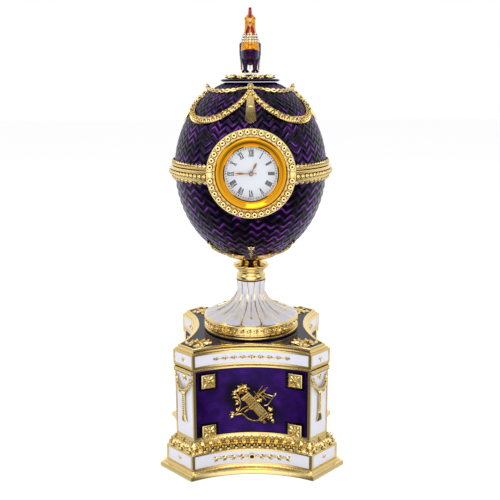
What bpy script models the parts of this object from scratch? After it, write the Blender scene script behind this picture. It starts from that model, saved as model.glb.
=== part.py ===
"""An enamelled egg clock on a pedestal with concave sides.

The egg is a hollow bowl with a lid that lifts off. A gilt ring on its front holds a round clock,
and a cockerel stands on the lid. Metres, +Z up, the dial faces -Y, and the origin is the middle
of the pedestal's underside.
"""

import math

import bmesh
import bpy
from mathutils import Matrix, Vector

# Space left between two pieces that touch
GAP = 0.0003

# Pedestal: half widths are taken to the edge of a cut corner, heights run upwards
SLAB_HALF = 0.0508
SLAB_HEIGHT = 0.0025
STEP_HEIGHT = 0.0014
PLINTH_HALF = 0.0471
PLINTH_HEIGHT = 0.0090
LEAF_RISE = 0.0060
LEAF_DEPTH = 0.0014
LEAF_SHARE = 0.9
SIDE_LEAVES = 7
CORNER_LEAVES = 2
SHAFT_HALF = 0.0415
SHAFT_HEIGHT = 0.0407
NECKING_HEIGHT = 0.0006
ENTABLATURE_HALF = 0.0423
ENTABLATURE_HEIGHT = 0.0079
CAP_HALF = 0.0398
CAP_HEIGHT = 0.0025
DECK_RIM = 0.0012
DECK_SINK = 0.0004
CHORD_HALF = 0.0312
CHORD_GROWTH = 0.15
SIDE_SAG = 0.0084
EDGE = 0.0004

# Ornament of the pedestal
PLATE_SIZE = 0.0076
PLATE_THICK = 0.0006
PLATE_ACROSS = 0.0232
PLATE_FROM_BOTTOM = 0.0038
PLATE_FROM_TOP = 0.0078
TROPHY_HEIGHT = 0.0229
TROPHY_RISE = 0.0188
TROPHY_LIFT = 0.0004
GARLAND_WIDTH = 0.0126
GARLAND_DROP = 0.0108
GARLAND_BULGE = 0.0012
GARLAND_THICK = 0.0022
TASSEL_DROP = 0.0190
CORD_THICK = 0.0020

# Fluted foot
FOOT_RADIUS = 0.0270
FOOT_RING_HEIGHT = 0.0018
LAUREL_HEIGHT = 0.0064
FOOT_FLARE_HEIGHT = 0.0133
FOOT_STEM_RADIUS = 0.0080
FOOT_STEM_TOP_RADIUS = 0.0084
FOOT_HEIGHT = 0.0283
FLUTE_DEPTH = 0.0007
FLUTES = 14

# Turned collar between the foot and the egg
COLLAR_RADIUS = 0.0083
COLLAR_DISH_RADIUS = 0.0102
COLLAR_NECK_RADIUS = 0.0062
COLLAR_HEIGHT = 0.0114

# Egg
EGG_RADIUS = 0.0417
EGG_BELOW = 0.0513
EGG_ABOVE = 0.0486
EGG_WALL = 0.0018
EGG_FLAT_RADIUS = 0.0137
SPLIT_ABOVE_WAIST = 0.0023
LIP_HEIGHT = 0.0020
LIP_WALL = 0.0012
LIP_CLEARANCE = 0.0003

# Gilt belt round the egg
BELT_BEAD_RADIUS = EGG_RADIUS + 0.0033
BELT_BAND_RADIUS = EGG_RADIUS + 0.0017
BELT_DROP = 0.0060
LID_BAND_RADIUS = EGG_RADIUS + 0.0013
LID_BAND_HEIGHT = 0.0020

# Ornament of the egg
KNOT_RADIUS = 0.0016
KNOT_FROM_AXIS = 0.0229
KNOT_BELOW_TOP = 0.0020
SWAG_DROP = 0.0150
SWAG_THICK = 0.0033
RIBBON_SAG = 0.0020
PENDANT_LENGTH = 0.0160
PENDANT_WIDTH = 0.0048
CALYX_LENGTH = 0.0130
CALYX_WIDTH = 0.0105
CALYX_RAISE = 0.0011
CALYX_SINK = 0.0012
HUSK_LENGTH = 0.0080

# Clock, with depths counted from the egg's axis towards the front
CLOCK_ABOVE_WAIST = 0.0013
RING_RADIUS = 0.0225
RING_BORE = 0.0192
RING_FACE = EGG_RADIUS + 0.0011
RING_BACK = EGG_RADIUS - 0.0097
RING_BEADS = 38
RING_BEAD_RADIUS = 0.0009
SEAT_RADIUS = 0.0169
BEZEL_RADIUS = 0.01825
BEZEL_FACE = EGG_RADIUS + 0.0018
BEZEL_DEPTH = 0.0040
BEZEL_SIGHT = 0.0134
BEZEL_STEP = 0.0146
REBATE_RADIUS = 0.0143
GLASS_THICK = 0.0005
DIAL_THICK = 0.0005
CASE_CLEARANCE = 0.0005
CASE_DEPTH = 0.0110
ARBOR_RADIUS = 0.0005
HAND_CLEARANCE = 0.0003
HAND_SPACE = 0.0003
HUB_RADIUS = 0.00115
HOUR_LENGTH = 0.0063
MINUTE_LENGTH = 0.0083
SECOND_LENGTH = 0.0089
SECOND_TAIL = 0.0024
HOUR_WIDTH = 0.0011
MINUTE_WIDTH = 0.0009
SECOND_WIDTH = 0.0004
HAND_THICK = 0.0002
HOUR_ANGLE = 28.0
MINUTE_ANGLE = 271.5
SECOND_ANGLE = 266.0

# Wreath and cockerel
PLATE_RADIUS = 0.0159
STAND_THICK = 0.0014
WREATH_RADIUS = 0.0139
WREATH_HEIGHT = 0.0025
WREATH_LEAVES = 12
BIRD_HEIGHT = 0.0340

# Levels worked out from the sizes above
PLINTH_FROM = SLAB_HEIGHT + STEP_HEIGHT
PLINTH_TO = PLINTH_FROM + PLINTH_HEIGHT
SHAFT_FROM = PLINTH_TO + LEAF_RISE
LEAF_FOOT_HALF = PLINTH_HALF - 2 * EDGE
SHAFT_TO = SHAFT_FROM + SHAFT_HEIGHT
ENTABLATURE_FROM = SHAFT_TO + NECKING_HEIGHT
ENTABLATURE_TO = ENTABLATURE_FROM + ENTABLATURE_HEIGHT
CAP_TO = ENTABLATURE_TO + CAP_HEIGHT
DECK = CAP_TO - DECK_SINK
FOOT_FROM = DECK + GAP
FOOT_TO = FOOT_FROM + FOOT_HEIGHT
COLLAR_FROM = FOOT_TO + GAP
COLLAR_TO = COLLAR_FROM + COLLAR_HEIGHT
WAIST = COLLAR_TO + GAP + EGG_BELOW
SPLIT = WAIST + SPLIT_ABOVE_WAIST
CLOCK = WAIST + CLOCK_ABOVE_WAIST
EGG_FLAT = WAIST + EGG_ABOVE * math.sqrt(1 - (EGG_FLAT_RADIUS / EGG_RADIUS) ** 2)
STAND_FROM = EGG_FLAT + GAP
STAND_TO = STAND_FROM + STAND_THICK
WREATH_TO = STAND_TO + WREATH_HEIGHT
BIRD_FROM = WREATH_TO + GAP
SEAT_FACE = BEZEL_FACE - BEZEL_DEPTH - GAP
CASE_RADIUS = SEAT_RADIUS - CASE_CLEARANCE

# How finely round and curved pieces are divided, and the lengths below which points are merged
SLIVER = 0.00015
FINE_SLIVER = 0.00006
ROUND = 24
SMALL_ROUND = 14
SIDE_STEPS = 5
SWAG_STEPS = 6
RIBBON_STEPS = 3
FLOWER_STEPS = 4
PLUME_STEPS = 4
HUB_ROUND = 8


def clear_scene():
    for item in list(bpy.data.objects):
        bpy.data.objects.remove(item, do_unlink=True)


def finish(name, colour, roughness, metallic):
    material = bpy.data.materials.new(name)
    material.use_nodes = True
    shader = material.node_tree.nodes["Principled BSDF"]
    shader.inputs["Base Color"].default_value = (*colour, 1.0)
    shader.inputs["Roughness"].default_value = roughness
    shader.inputs["Metallic"].default_value = metallic
    material.diffuse_color = (*colour, 1.0)
    return material


def solid(name, points, faces):
    """An object from points and faces, with its faces turned outwards."""
    mesh = bpy.data.meshes.new(name)
    mesh.from_pydata([tuple(point) for point in points], [], faces)
    shape = bmesh.new()
    shape.from_mesh(mesh)
    bmesh.ops.recalc_face_normals(shape, faces=shape.faces)
    shape.to_mesh(mesh)
    shape.free()
    item = bpy.data.objects.new(name, mesh)
    bpy.context.scene.collection.objects.link(item)
    return item


def lathe(name, profile, segments, closed=False, scallop=None):
    """Turns (radius, height) points about Z. scallop(index, angle) scales the radius."""
    points, rows = [], []
    for index, (radius, height) in enumerate(profile):
        if radius == 0:
            rows.append([len(points)] * segments)
            points.append((0, 0, height))
            continue
        rows.append([len(points) + step for step in range(segments)])
        for step in range(segments):
            angle = math.tau * step / segments
            reach = radius * (scallop(index, angle) if scallop else 1)
            points.append((reach * math.cos(angle), reach * math.sin(angle), height))
    pairs = list(zip(rows, rows[1:]))
    if closed:
        pairs.append((rows[-1], rows[0]))
    faces = []
    for low, high in pairs:
        for step in range(segments):
            after = (step + 1) % segments
            loop = [low[step], low[after], high[after], high[step]]
            faces.append(list(dict.fromkeys(loop)))
    faces = [face for face in faces if len(face) > 2]
    return solid(name, points, faces)


def loft(name, rings):
    """A closed body through rings of equal length, with a face over each end."""
    points = [point for ring in rings for point in ring]
    count = len(rings[0])
    faces = []
    for level in range(len(rings) - 1):
        for step in range(count):
            after = (step + 1) % count
            start, end = level * count, (level + 1) * count
            faces.append([start + step, start + after, end + after, end + step])
    faces.append(list(range(count)))
    faces.append(list(range(len(points) - count, len(points))))
    return solid(name, points, faces)


def sweep(name, path, sizes, sides, flat=1.0, facing=Vector((0, 0, 1))):
    """A rod along a path. Each size is the rod's half width there, and flat thins it along facing."""
    rings = []
    for index, point in enumerate(path):
        before = path[max(index - 1, 0)]
        after = path[min(index + 1, len(path) - 1)]
        along = (after - before).normalized()
        toward = facing[index] if isinstance(facing, list) else facing
        across = along.cross(toward).normalized()
        outward = across.cross(along)
        ring = []
        for step in range(sides):
            angle = math.tau * (step + 0.5) / sides
            reach = across * math.cos(angle) + outward * (math.sin(angle) * flat)
            ring.append(point + reach * sizes[index])
        rings.append(ring)
    return loft(name, rings)


def lump(name, centre, radii):
    """A small eight-sided bead, knot or flower."""
    x, y, z = radii
    points = [(x, 0, 0), (0, y, 0), (-x, 0, 0), (0, -y, 0), (0, 0, z), (0, 0, -z)]
    points = [Vector(point) + Vector(centre) for point in points]
    faces = [(k, (k + 1) % 4, 4) for k in range(4)]
    faces += [((k + 1) % 4, k, 5) for k in range(4)]
    return solid(name, points, faces)


def block(name, low, high):
    corners = [(x, y, z) for z in (low[2], high[2]) for y in (low[1], high[1]) for x in (low[0], high[0])]
    faces = [(0, 2, 3, 1), (4, 5, 7, 6), (0, 1, 5, 4), (2, 6, 7, 3), (0, 4, 6, 2), (1, 3, 7, 5)]
    return solid(name, corners, faces)


def move(item, matrix):
    item.data.transform(matrix)
    return item


def clean(mesh, sliver):
    """Takes away points that a Boolean leaves on straight edges and very near each other."""
    shape = bmesh.new()
    shape.from_mesh(mesh)
    bmesh.ops.remove_doubles(shape, verts=shape.verts, dist=sliver)
    bmesh.ops.dissolve_limit(shape, angle_limit=math.radians(0.5), verts=shape.verts, edges=shape.edges)
    shape.to_mesh(mesh)
    shape.free()


def fuse(name, parts, cutters=(), material=None, smooth=math.radians(35), sliver=FINE_SLIVER):
    """One closed body: the overlapping parts joined, less the cutters."""
    base, *others = parts
    group = bpy.data.collections.new(name + "_parts")
    for item in others:
        group.objects.link(item)
    if others:
        union = base.modifiers.new("join", "BOOLEAN")
        union.operation = "UNION"
        union.solver = "EXACT"
        union.operand_type = "COLLECTION"
        union.collection = group
    for cutter in cutters:
        cut = base.modifiers.new("cut", "BOOLEAN")
        cut.operation = "DIFFERENCE"
        cut.solver = "EXACT"
        cut.object = cutter
    bpy.context.view_layer.update()
    graph = bpy.context.evaluated_depsgraph_get()
    mesh = bpy.data.meshes.new_from_object(base.evaluated_get(graph))
    mesh.name = name
    clean(mesh, sliver)
    for item in (*parts, *cutters):
        bpy.data.objects.remove(item, do_unlink=True)
    bpy.data.collections.remove(group)
    mesh.materials.clear()
    if material:
        mesh.materials.append(material)
    mesh.shade_smooth()
    mesh.set_sharp_from_angle(angle=smooth)
    whole = bpy.data.objects.new(name, mesh)
    bpy.context.scene.collection.objects.link(whole)
    return whole


def half_chord(half):
    """Half the straight length of a concave side, which grows a little with the width."""
    return CHORD_HALF + CHORD_GROWTH * (half - ENTABLATURE_HALF)


def side_curve(half):
    """Centre distance, radius and half angle of the arc that hollows a side."""
    chord = half_chord(half)
    radius = (chord**2 + SIDE_SAG**2) / (2 * SIDE_SAG)
    return half - SIDE_SAG + radius, radius, math.asin(chord / radius)


def section(half, height):
    """The pedestal's outline at one height: four hollow sides and four cut corners."""
    centre, radius, spread = side_curve(half)
    ring = []
    for side in range(4):
        turn = Matrix.Rotation(side * math.pi / 2, 3, "Z")
        for step in range(SIDE_STEPS + 1):
            angle = spread * (2 * step / SIDE_STEPS - 1)
            point = Vector((radius * math.sin(angle), radius * math.cos(angle) - centre, height))
            ring.append(turn @ point)
    return ring


def on_side(side, across, height, half=SHAFT_HALF):
    """A frame on a hollow side: X along it, Y up and Z outwards."""
    centre, radius, _ = side_curve(half)
    angle = math.asin(across / radius)
    place = Vector((across, radius * math.cos(angle) - centre, height))
    outward = Vector((-math.sin(angle), -math.cos(angle), 0))
    up = Vector((0, 0, 1))
    along = up.cross(outward)
    frame = Matrix((along, up, outward)).transposed().to_4x4()
    return Matrix.Rotation(side * math.pi / 2, 4, "Z") @ Matrix.Translation(place) @ frame


def on_corner(corner, height, half=SHAFT_HALF):
    """A frame on a cut corner: X along it, Y up and Z outwards."""
    reach = (half + half_chord(half)) / math.sqrt(2)
    outward = Vector((1, -1, 0)).normalized()
    up = Vector((0, 0, 1))
    along = up.cross(outward)
    frame = Matrix((along, up, outward)).transposed().to_4x4()
    place = outward * reach + up * height
    return Matrix.Rotation(corner * math.pi / 2, 4, "Z") @ Matrix.Translation(place) @ frame


def corner_width(half):
    return (half - half_chord(half)) * math.sqrt(2)


def pedestal_body():
    levels = [
        (SLAB_HALF, 0),
        (SLAB_HALF, SLAB_HEIGHT),
        (PLINTH_HALF, PLINTH_FROM),
        (PLINTH_HALF, PLINTH_TO),
        (LEAF_FOOT_HALF, PLINTH_TO + EDGE),
        (SHAFT_HALF, SHAFT_FROM),
        (SHAFT_HALF, SHAFT_TO),
        (ENTABLATURE_HALF, ENTABLATURE_FROM),
        (ENTABLATURE_HALF, ENTABLATURE_TO),
        (CAP_HALF, CAP_TO),
        (CAP_HALF - DECK_RIM, CAP_TO),
        (CAP_HALF - DECK_RIM - EDGE, DECK),
    ]
    return loft("body", [section(half, height) for half, height in levels])


def leaf(name, frame, width, length, raise_by, sink=0.0008):
    """A pointed leaf with a ridge, standing up from a surface that it sinks into."""
    points = [(-width / 2, 0, -sink), (width / 2, 0, -sink), (0, length, -sink), (0, length * 0.35, raise_by)]
    return move(solid(name, points, [(0, 1, 3), (1, 2, 3), (2, 0, 3), (0, 1, 2)]), frame)


def plinth_leaves():
    """The row of leaves on the slope between the plinth and the shaft."""
    run = LEAF_FOOT_HALF - SHAFT_HALF
    rise = LEAF_RISE - EDGE
    tilt = Matrix.Rotation(-math.atan2(run, rise), 4, "X")
    length = math.hypot(run, rise) * LEAF_SHARE
    height = PLINTH_TO + EDGE
    leaves = []
    pitch = 2 * half_chord(LEAF_FOOT_HALF) / SIDE_LEAVES
    width = corner_width(LEAF_FOOT_HALF) / CORNER_LEAVES
    for side in range(4):
        for step in range(SIDE_LEAVES):
            across = pitch * (step + 0.5 - SIDE_LEAVES / 2)
            frame = on_side(side, across, height, LEAF_FOOT_HALF) @ tilt
            leaves.append(leaf("leaf", frame, pitch * LEAF_SHARE, length, LEAF_DEPTH))
        for step in range(CORNER_LEAVES):
            aside = Matrix.Translation((width * (step + 0.5 - CORNER_LEAVES / 2), 0, 0))
            frame = on_corner(side, height, LEAF_FOOT_HALF) @ aside @ tilt
            leaves.append(leaf("leaf", frame, width * LEAF_SHARE, length, LEAF_DEPTH))
    return leaves


def rosette(frame, size, thick):
    """A square plate whose face is an eight-rayed star."""
    half = size / 2
    outline = [(math.cos(a), math.sin(a)) for a in (math.tau * k / 8 for k in range(8))]
    square = [(half * x / max(abs(x), abs(y)), half * y / max(abs(x), abs(y))) for x, y in outline]
    points = [(x, y, thick * (1 - 0.5 * (k % 2))) for k, (x, y) in enumerate(square)]
    points.append((0, 0, 2 * thick))
    points += [(x, y, -2 * thick) for x, y in square[1::2]]
    faces = [(k, (k + 1) % 8, 8) for k in range(8)]
    faces.append((9, 10, 11, 12))
    for k in range(4):
        corner, after = 2 * k + 1, (2 * k + 3) % 8
        faces.append((9 + k, 9 + (k + 1) % 4, after, (corner + 1) % 8, corner))
    return move(solid("rosette", points, faces), frame)


def plates():
    """Four rosettes on each side, and one in the middle of the three plainer sides."""
    made = []
    low = SHAFT_FROM + PLATE_FROM_BOTTOM
    high = SHAFT_TO - PLATE_FROM_TOP
    for side in range(4):
        for across in (-PLATE_ACROSS, PLATE_ACROSS):
            for height in (low, high):
                made.append(rosette(on_side(side, across, height), PLATE_SIZE, PLATE_THICK))
        if side:
            middle = on_side(side, 0, SHAFT_FROM + TROPHY_RISE) @ Matrix.Rotation(math.pi / 4, 4, "Z")
            made.append(rosette(middle, PLATE_SIZE * 2, PLATE_THICK * 2))
    return made


def trophy():
    """The front's trophy: a banded sheaf with a blossom, a leafy sprig, a trellis and a bow."""
    unit = TROPHY_HEIGHT
    made = []

    def bend(item):
        for vertex in item.data.vertices:
            across, up, out = vertex.co
            place = on_side(0, across, SHAFT_FROM + TROPHY_RISE + up)
            vertex.co = place @ Vector((0, 0, out + TROPHY_LIFT))
        return item

    def rod(points, width, sides=4, taper=1.0):
        path = [Vector((x * unit, y * unit, 0)) for x, y in points]
        sizes = [width * unit * (1 + (taper - 1) * k / (len(path) - 1)) for k in range(len(path))]
        made.append(bend(sweep("rod", path, sizes, sides)))

    def petal(x, y, angle, length, width):
        turn = Matrix.Translation((x * unit, y * unit, 0)) @ Matrix.Rotation(math.radians(angle), 4, "Z")
        made.append(bend(leaf("petal", turn, width * unit, length * unit, 0.05 * unit)))

    rod([(-0.16, 0.20), (0.30, -0.36)], 0.10, sides=6, taper=1.1)
    rod([(-0.42, -0.24), (-0.30, 0.02), (-0.36, 0.22)], 0.030)
    rod([(-0.36, -0.34), (-0.05, -0.46), (0.28, -0.38), (0.46, -0.14)], 0.032)
    for step in (-1, 0, 1):
        offset = 0.13 * step
        rod([(0.04 + offset, 0.36), (0.26 + offset, 0.04)], 0.022)
        rod([(-0.02, 0.20 + offset), (0.34, 0.22 + offset)], 0.022)
    rod([(0.36, 0.22), (0.50, 0.18), (0.46, -0.02)], 0.024)
    for step in range(6):
        petal(-0.22, 0.28, step * 60, 0.20, 0.12)
    for step in range(4):
        petal(-0.40, -0.26, 50 + step * 55, 0.18, 0.11)
    for x, y, angle in ((-0.34, -0.06, 50), (-0.35, 0.08, -40), (0.40, -0.30, -60), (0.44, -0.26, 20)):
        petal(x, y, angle, 0.17, 0.10)
    return made


def garlands():
    """On each cut corner: a bar, a looped garland with a flower in it, and a cord with a tassel."""
    made = []
    top = SHAFT_TO - GARLAND_THICK * 0.7
    half = GARLAND_WIDTH / 2
    steps = 4
    for corner in range(4):
        frame = on_corner(corner, top)
        bar = block("bar", (-half - 0.0009, -0.0008, -0.001), (half + 0.0009, 0.0008, 0.0016))
        made.append(move(bar, frame))
        path, sizes = [], []
        for step in range(steps + 1):
            share = 2 * step / steps - 1
            drop = GARLAND_DROP * math.sqrt(max(1 - abs(share) ** 2.6, 0))
            path.append(Vector((half * share * 1.04, -drop, GARLAND_BULGE * (1 - share**2) + 0.0002)))
            sizes.append(GARLAND_THICK / 2 * (1.15 - 0.3 * abs(share)))
        made.append(move(sweep("swag", path, sizes, 4), frame))
        knot = (CORD_THICK * 0.8, CORD_THICK * 0.7, CORD_THICK * 0.7)
        flower = (GARLAND_THICK * 0.8, GARLAND_THICK * 0.8, GARLAND_THICK * 0.5)
        end = -GARLAND_DROP - TASSEL_DROP * 0.72
        made.append(move(lump("flower", (0, -GARLAND_DROP * 0.42, 0), flower), frame))
        made.append(move(lump("knot", (0, -GARLAND_DROP - CORD_THICK * 0.8, CORD_THICK * 0.3), knot), frame))
        cord = [Vector((0, -GARLAND_DROP, CORD_THICK / 4)), Vector((0, end, CORD_THICK / 4))]
        made.append(move(sweep("cord", cord, [CORD_THICK / 2] * 2, 4), frame))
        made.append(move(lump("knot", (0, end, CORD_THICK * 0.15), knot), frame))
        tassel = [Vector((0, end, CORD_THICK * 0.1)), Vector((0, end - TASSEL_DROP * 0.27, CORD_THICK * 0.1))]
        made.append(move(sweep("tassel", tassel, [CORD_THICK / 2, CORD_THICK * 0.8], 4), frame))
    return made


def pedestal(material):
    parts = [pedestal_body(), *plinth_leaves(), *plates(), *trophy(), *garlands()]
    return fuse("pedestal", parts, material=material, smooth=math.radians(25), sliver=SLIVER)


def foot(material):
    """A foot that flares like a trumpet, with flutes up to its stem, on a laurel band and a ring."""
    ring = FOOT_RING_HEIGHT
    band = ring + LAUREL_HEIGHT
    profile = [
        (0, 0),
        (FOOT_RADIUS - 2 * EDGE, 0),
        (FOOT_RADIUS, ring / 2),
        (FOOT_RADIUS - 2 * EDGE, ring),
        (FOOT_RADIUS, ring + LAUREL_HEIGHT * 0.25),
        (FOOT_RADIUS, ring + LAUREL_HEIGHT * 0.85),
        (FOOT_RADIUS - EDGE, band),
    ]
    plain = len(profile)
    reach = FOOT_RADIUS - 1.5 * EDGE - FOOT_STEM_RADIUS
    for share, lift in ((0.97, 0.03), (0.70, 0.18), (0.42, 0.34), (0.18, 0.56), (0.0, 1.0)):
        profile.append((FOOT_STEM_RADIUS + reach * share, band + FOOT_FLARE_HEIGHT * lift))
    profile.append((FOOT_STEM_TOP_RADIUS, FOOT_HEIGHT))
    profile.append((0, FOOT_HEIGHT))
    last = len(profile) - 2

    def flute(index, angle):
        if index < plain or index >= last:
            return 1
        wave = abs(math.sin(FLUTES * angle / 2))
        return 1 - FLUTE_DEPTH * (1 - wave) / profile[index][0]

    item = lathe("foot_core", profile, FLUTES * 2, scallop=flute)
    return fuse("foot", [move(item, Matrix.Translation((0, 0, FOOT_FROM)))], material=material)


def collar(material):
    dish = COLLAR_HEIGHT * 0.70
    profile = [
        (0, 0),
        (COLLAR_RADIUS - EDGE, 0),
        (COLLAR_RADIUS, COLLAR_HEIGHT * 0.05),
        (COLLAR_RADIUS, COLLAR_HEIGHT * 0.26),
        (COLLAR_RADIUS - 2 * EDGE, COLLAR_HEIGHT * 0.42),
        (COLLAR_DISH_RADIUS - 2 * EDGE, dish - 2 * EDGE),
        (COLLAR_DISH_RADIUS, dish),
        (COLLAR_NECK_RADIUS + 2 * EDGE, dish + 3 * EDGE),
        (COLLAR_NECK_RADIUS, COLLAR_HEIGHT * 0.88),
        (COLLAR_NECK_RADIUS - EDGE, COLLAR_HEIGHT),
        (0, COLLAR_HEIGHT),
    ]
    item = lathe("collar_core", profile, SMALL_ROUND)
    return fuse("collar", [move(item, Matrix.Translation((0, 0, COLLAR_FROM)))], material=material)


def egg_point(rise, inward=0.0):
    """Radius and height of the egg's surface at a rise in radians above the waist."""
    tall = EGG_ABOVE if rise > 0 else EGG_BELOW
    return (EGG_RADIUS - inward) * math.cos(rise), WAIST + (tall - inward) * math.sin(rise)


def egg_reach(height, out=0.0):
    """Radius of the egg at a height, moved outwards by out."""
    tall = EGG_ABOVE if height > WAIST else EGG_BELOW
    share = (height - WAIST) / (tall + out)
    return (EGG_RADIUS + out) * math.sqrt(max(1 - share**2, 0))


def on_egg(azimuth, height, out=0.0):
    """A point over the egg. Azimuth 0 is the front, and it grows towards +X."""
    reach = max(egg_reach(height, out), egg_reach(height) / 2)
    return Vector((reach * math.sin(azimuth), -reach * math.cos(azimuth), height))


def clock_frame():
    """Local +Z points to the front and local +Y up, on the clock's axis."""
    return Matrix.Translation((0, 0, CLOCK)) @ Matrix.Rotation(math.pi / 2, 4, "X")


def clock_ring(beads_above):
    """The gilt ring round the clock with its seat and the beads on one half of it."""
    profile = [
        (SEAT_RADIUS, RING_BACK),
        (RING_RADIUS, RING_BACK),
        (RING_RADIUS, RING_FACE - EDGE),
        (RING_RADIUS - EDGE, RING_FACE),
        (RING_BORE, RING_FACE),
        (RING_BORE, SEAT_FACE),
        (SEAT_RADIUS, SEAT_FACE),
    ]
    ring = lathe("ring", profile, ROUND, closed=True)
    made = [move(ring, clock_frame())]
    middle = (RING_RADIUS + RING_BORE) / 2
    for step in range(RING_BEADS):
        angle = math.tau * (step + 0.5) / RING_BEADS + math.pi / 2
        up = middle * math.sin(angle) + CLOCK - SPLIT
        if (up > 0) != beads_above or abs(up) < RING_BEAD_RADIUS + GAP:
            continue
        turned = clock_frame() @ Matrix.Rotation(angle, 4, "Z")
        centre = (middle, 0, RING_FACE - RING_BEAD_RADIUS * 0.2)
        made.append(move(lump("bead", centre, [RING_BEAD_RADIUS] * 3), turned))
    return made


def clock_hole(radius=(RING_RADIUS + RING_BORE) / 2 + EDGE):
    """The round hole that the ring fills in the egg's wall."""
    profile = [(0, 0), (radius, 0), (radius, 2 * EGG_RADIUS), (0, 2 * EGG_RADIUS)]
    return move(lathe("hole", profile, ROUND), clock_frame())


def half_space(above):
    """A block that takes away all of a half egg on the wrong side of the split."""
    wide = 3 * EGG_RADIUS
    if above:
        return block("above", (-wide, -wide, SPLIT - GAP / 2), (wide, wide, SPLIT + wide))
    return block("below", (-wide, -wide, SPLIT - wide), (wide, wide, SPLIT + GAP / 2))


def calyx_leaf(azimuth, low, length, width, raise_by):
    """A shell-like leaf that lies on the lower egg, fixed at its narrow low end."""
    outline = []
    for step in range(FLOWER_STEPS):
        share = step / (FLOWER_STEPS - 1)
        rise = math.sin(math.pi * share)
        across = (share * 2 - 1) * width / 2 * (0.55 + 0.45 * rise)
        outline.append((across, length * (0.55 + 0.45 * rise)))
    outline.append((width * 0.16, 0))
    outline.append((-width * 0.16, 0))
    points_3d = []
    for sink in (-CALYX_SINK, raise_by):
        for across, up in outline:
            height = low + up * 0.55
            reach = max(egg_reach(height), 0.006)
            points_3d.append(on_egg(azimuth + across / reach, height, sink))
    count = len(outline)
    middle = low + length * 0.30
    points_3d.append(on_egg(azimuth, middle, raise_by * 2.4))
    points_3d.append(on_egg(azimuth, middle, -CALYX_SINK))
    faces = []
    for step in range(count):
        after = (step + 1) % count
        faces.append((step, after, count + after, count + step))
        faces.append((count + step, count + after, 2 * count))
        faces.append((after, step, 2 * count + 1))
    return solid("calyx", points_3d, faces)


def egg_bowl(material):
    """The hollow lower half with its belt, lip, clock ring and calyx."""
    top = SPLIT - GAP / 2
    profile = [(0, egg_point(-math.pi / 2)[1])]
    profile += [egg_point(math.radians(-degrees)) for degrees in (76, 61, 46, 31, 16)]
    belt = WAIST + SPLIT_ABOVE_WAIST - BELT_DROP
    profile += [
        (EGG_RADIUS, belt - 0.0002),
        (BELT_BAND_RADIUS, belt),
        (BELT_BEAD_RADIUS, belt + BELT_DROP * 0.35),
        (BELT_BEAD_RADIUS, belt + BELT_DROP * 0.62),
        (BELT_BAND_RADIUS, belt + BELT_DROP * 0.78),
        (BELT_BAND_RADIUS, top),
    ]
    lip = EGG_RADIUS - EGG_WALL - LIP_CLEARANCE
    profile += [(lip, top), (lip, top + LIP_HEIGHT), (lip - LIP_WALL, top + LIP_HEIGHT)]
    profile += [(lip - LIP_WALL, WAIST - LIP_HEIGHT)]
    profile += [egg_point(math.radians(-degrees), EGG_WALL) for degrees in (20, 45, 70)]
    profile.append((0, egg_point(-math.pi / 2, EGG_WALL)[1]))
    shell = lathe("bowl", profile, ROUND)
    lip_hole = fuse("lip_hole", [clock_hole(RING_RADIUS + LIP_CLEARANCE)], [half_space(False)])
    bowl = fuse("bowl_cut", [shell], [clock_hole(), lip_hole])
    ring, *beads = clock_ring(False)
    ring = fuse("ring_low", [ring], [half_space(True)])
    low = WAIST - EGG_BELOW + 0.0004
    leaves = []
    for step in range(6):
        azimuth = math.radians(30 + 60 * step)
        leaves.append(calyx_leaf(azimuth, low, CALYX_LENGTH, CALYX_WIDTH, CALYX_RAISE))
        frame_low = on_egg(azimuth + math.radians(30), low + CALYX_LENGTH * 0.5, -0.0006)
        frame_high = on_egg(azimuth + math.radians(30), low + CALYX_LENGTH * 0.5 + HUSK_LENGTH, -0.0002)
        outward = Vector((frame_high.x, frame_high.y, 0)).normalized()
        husk = [frame_low, frame_low.lerp(frame_high, 0.6), frame_high]
        leaves.append(sweep("husk", husk, [0.0006, 0.0013, 0.0005], 4, facing=outward))
    return fuse("egg_bowl", [bowl, ring, *beads, *leaves], material=material)


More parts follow.
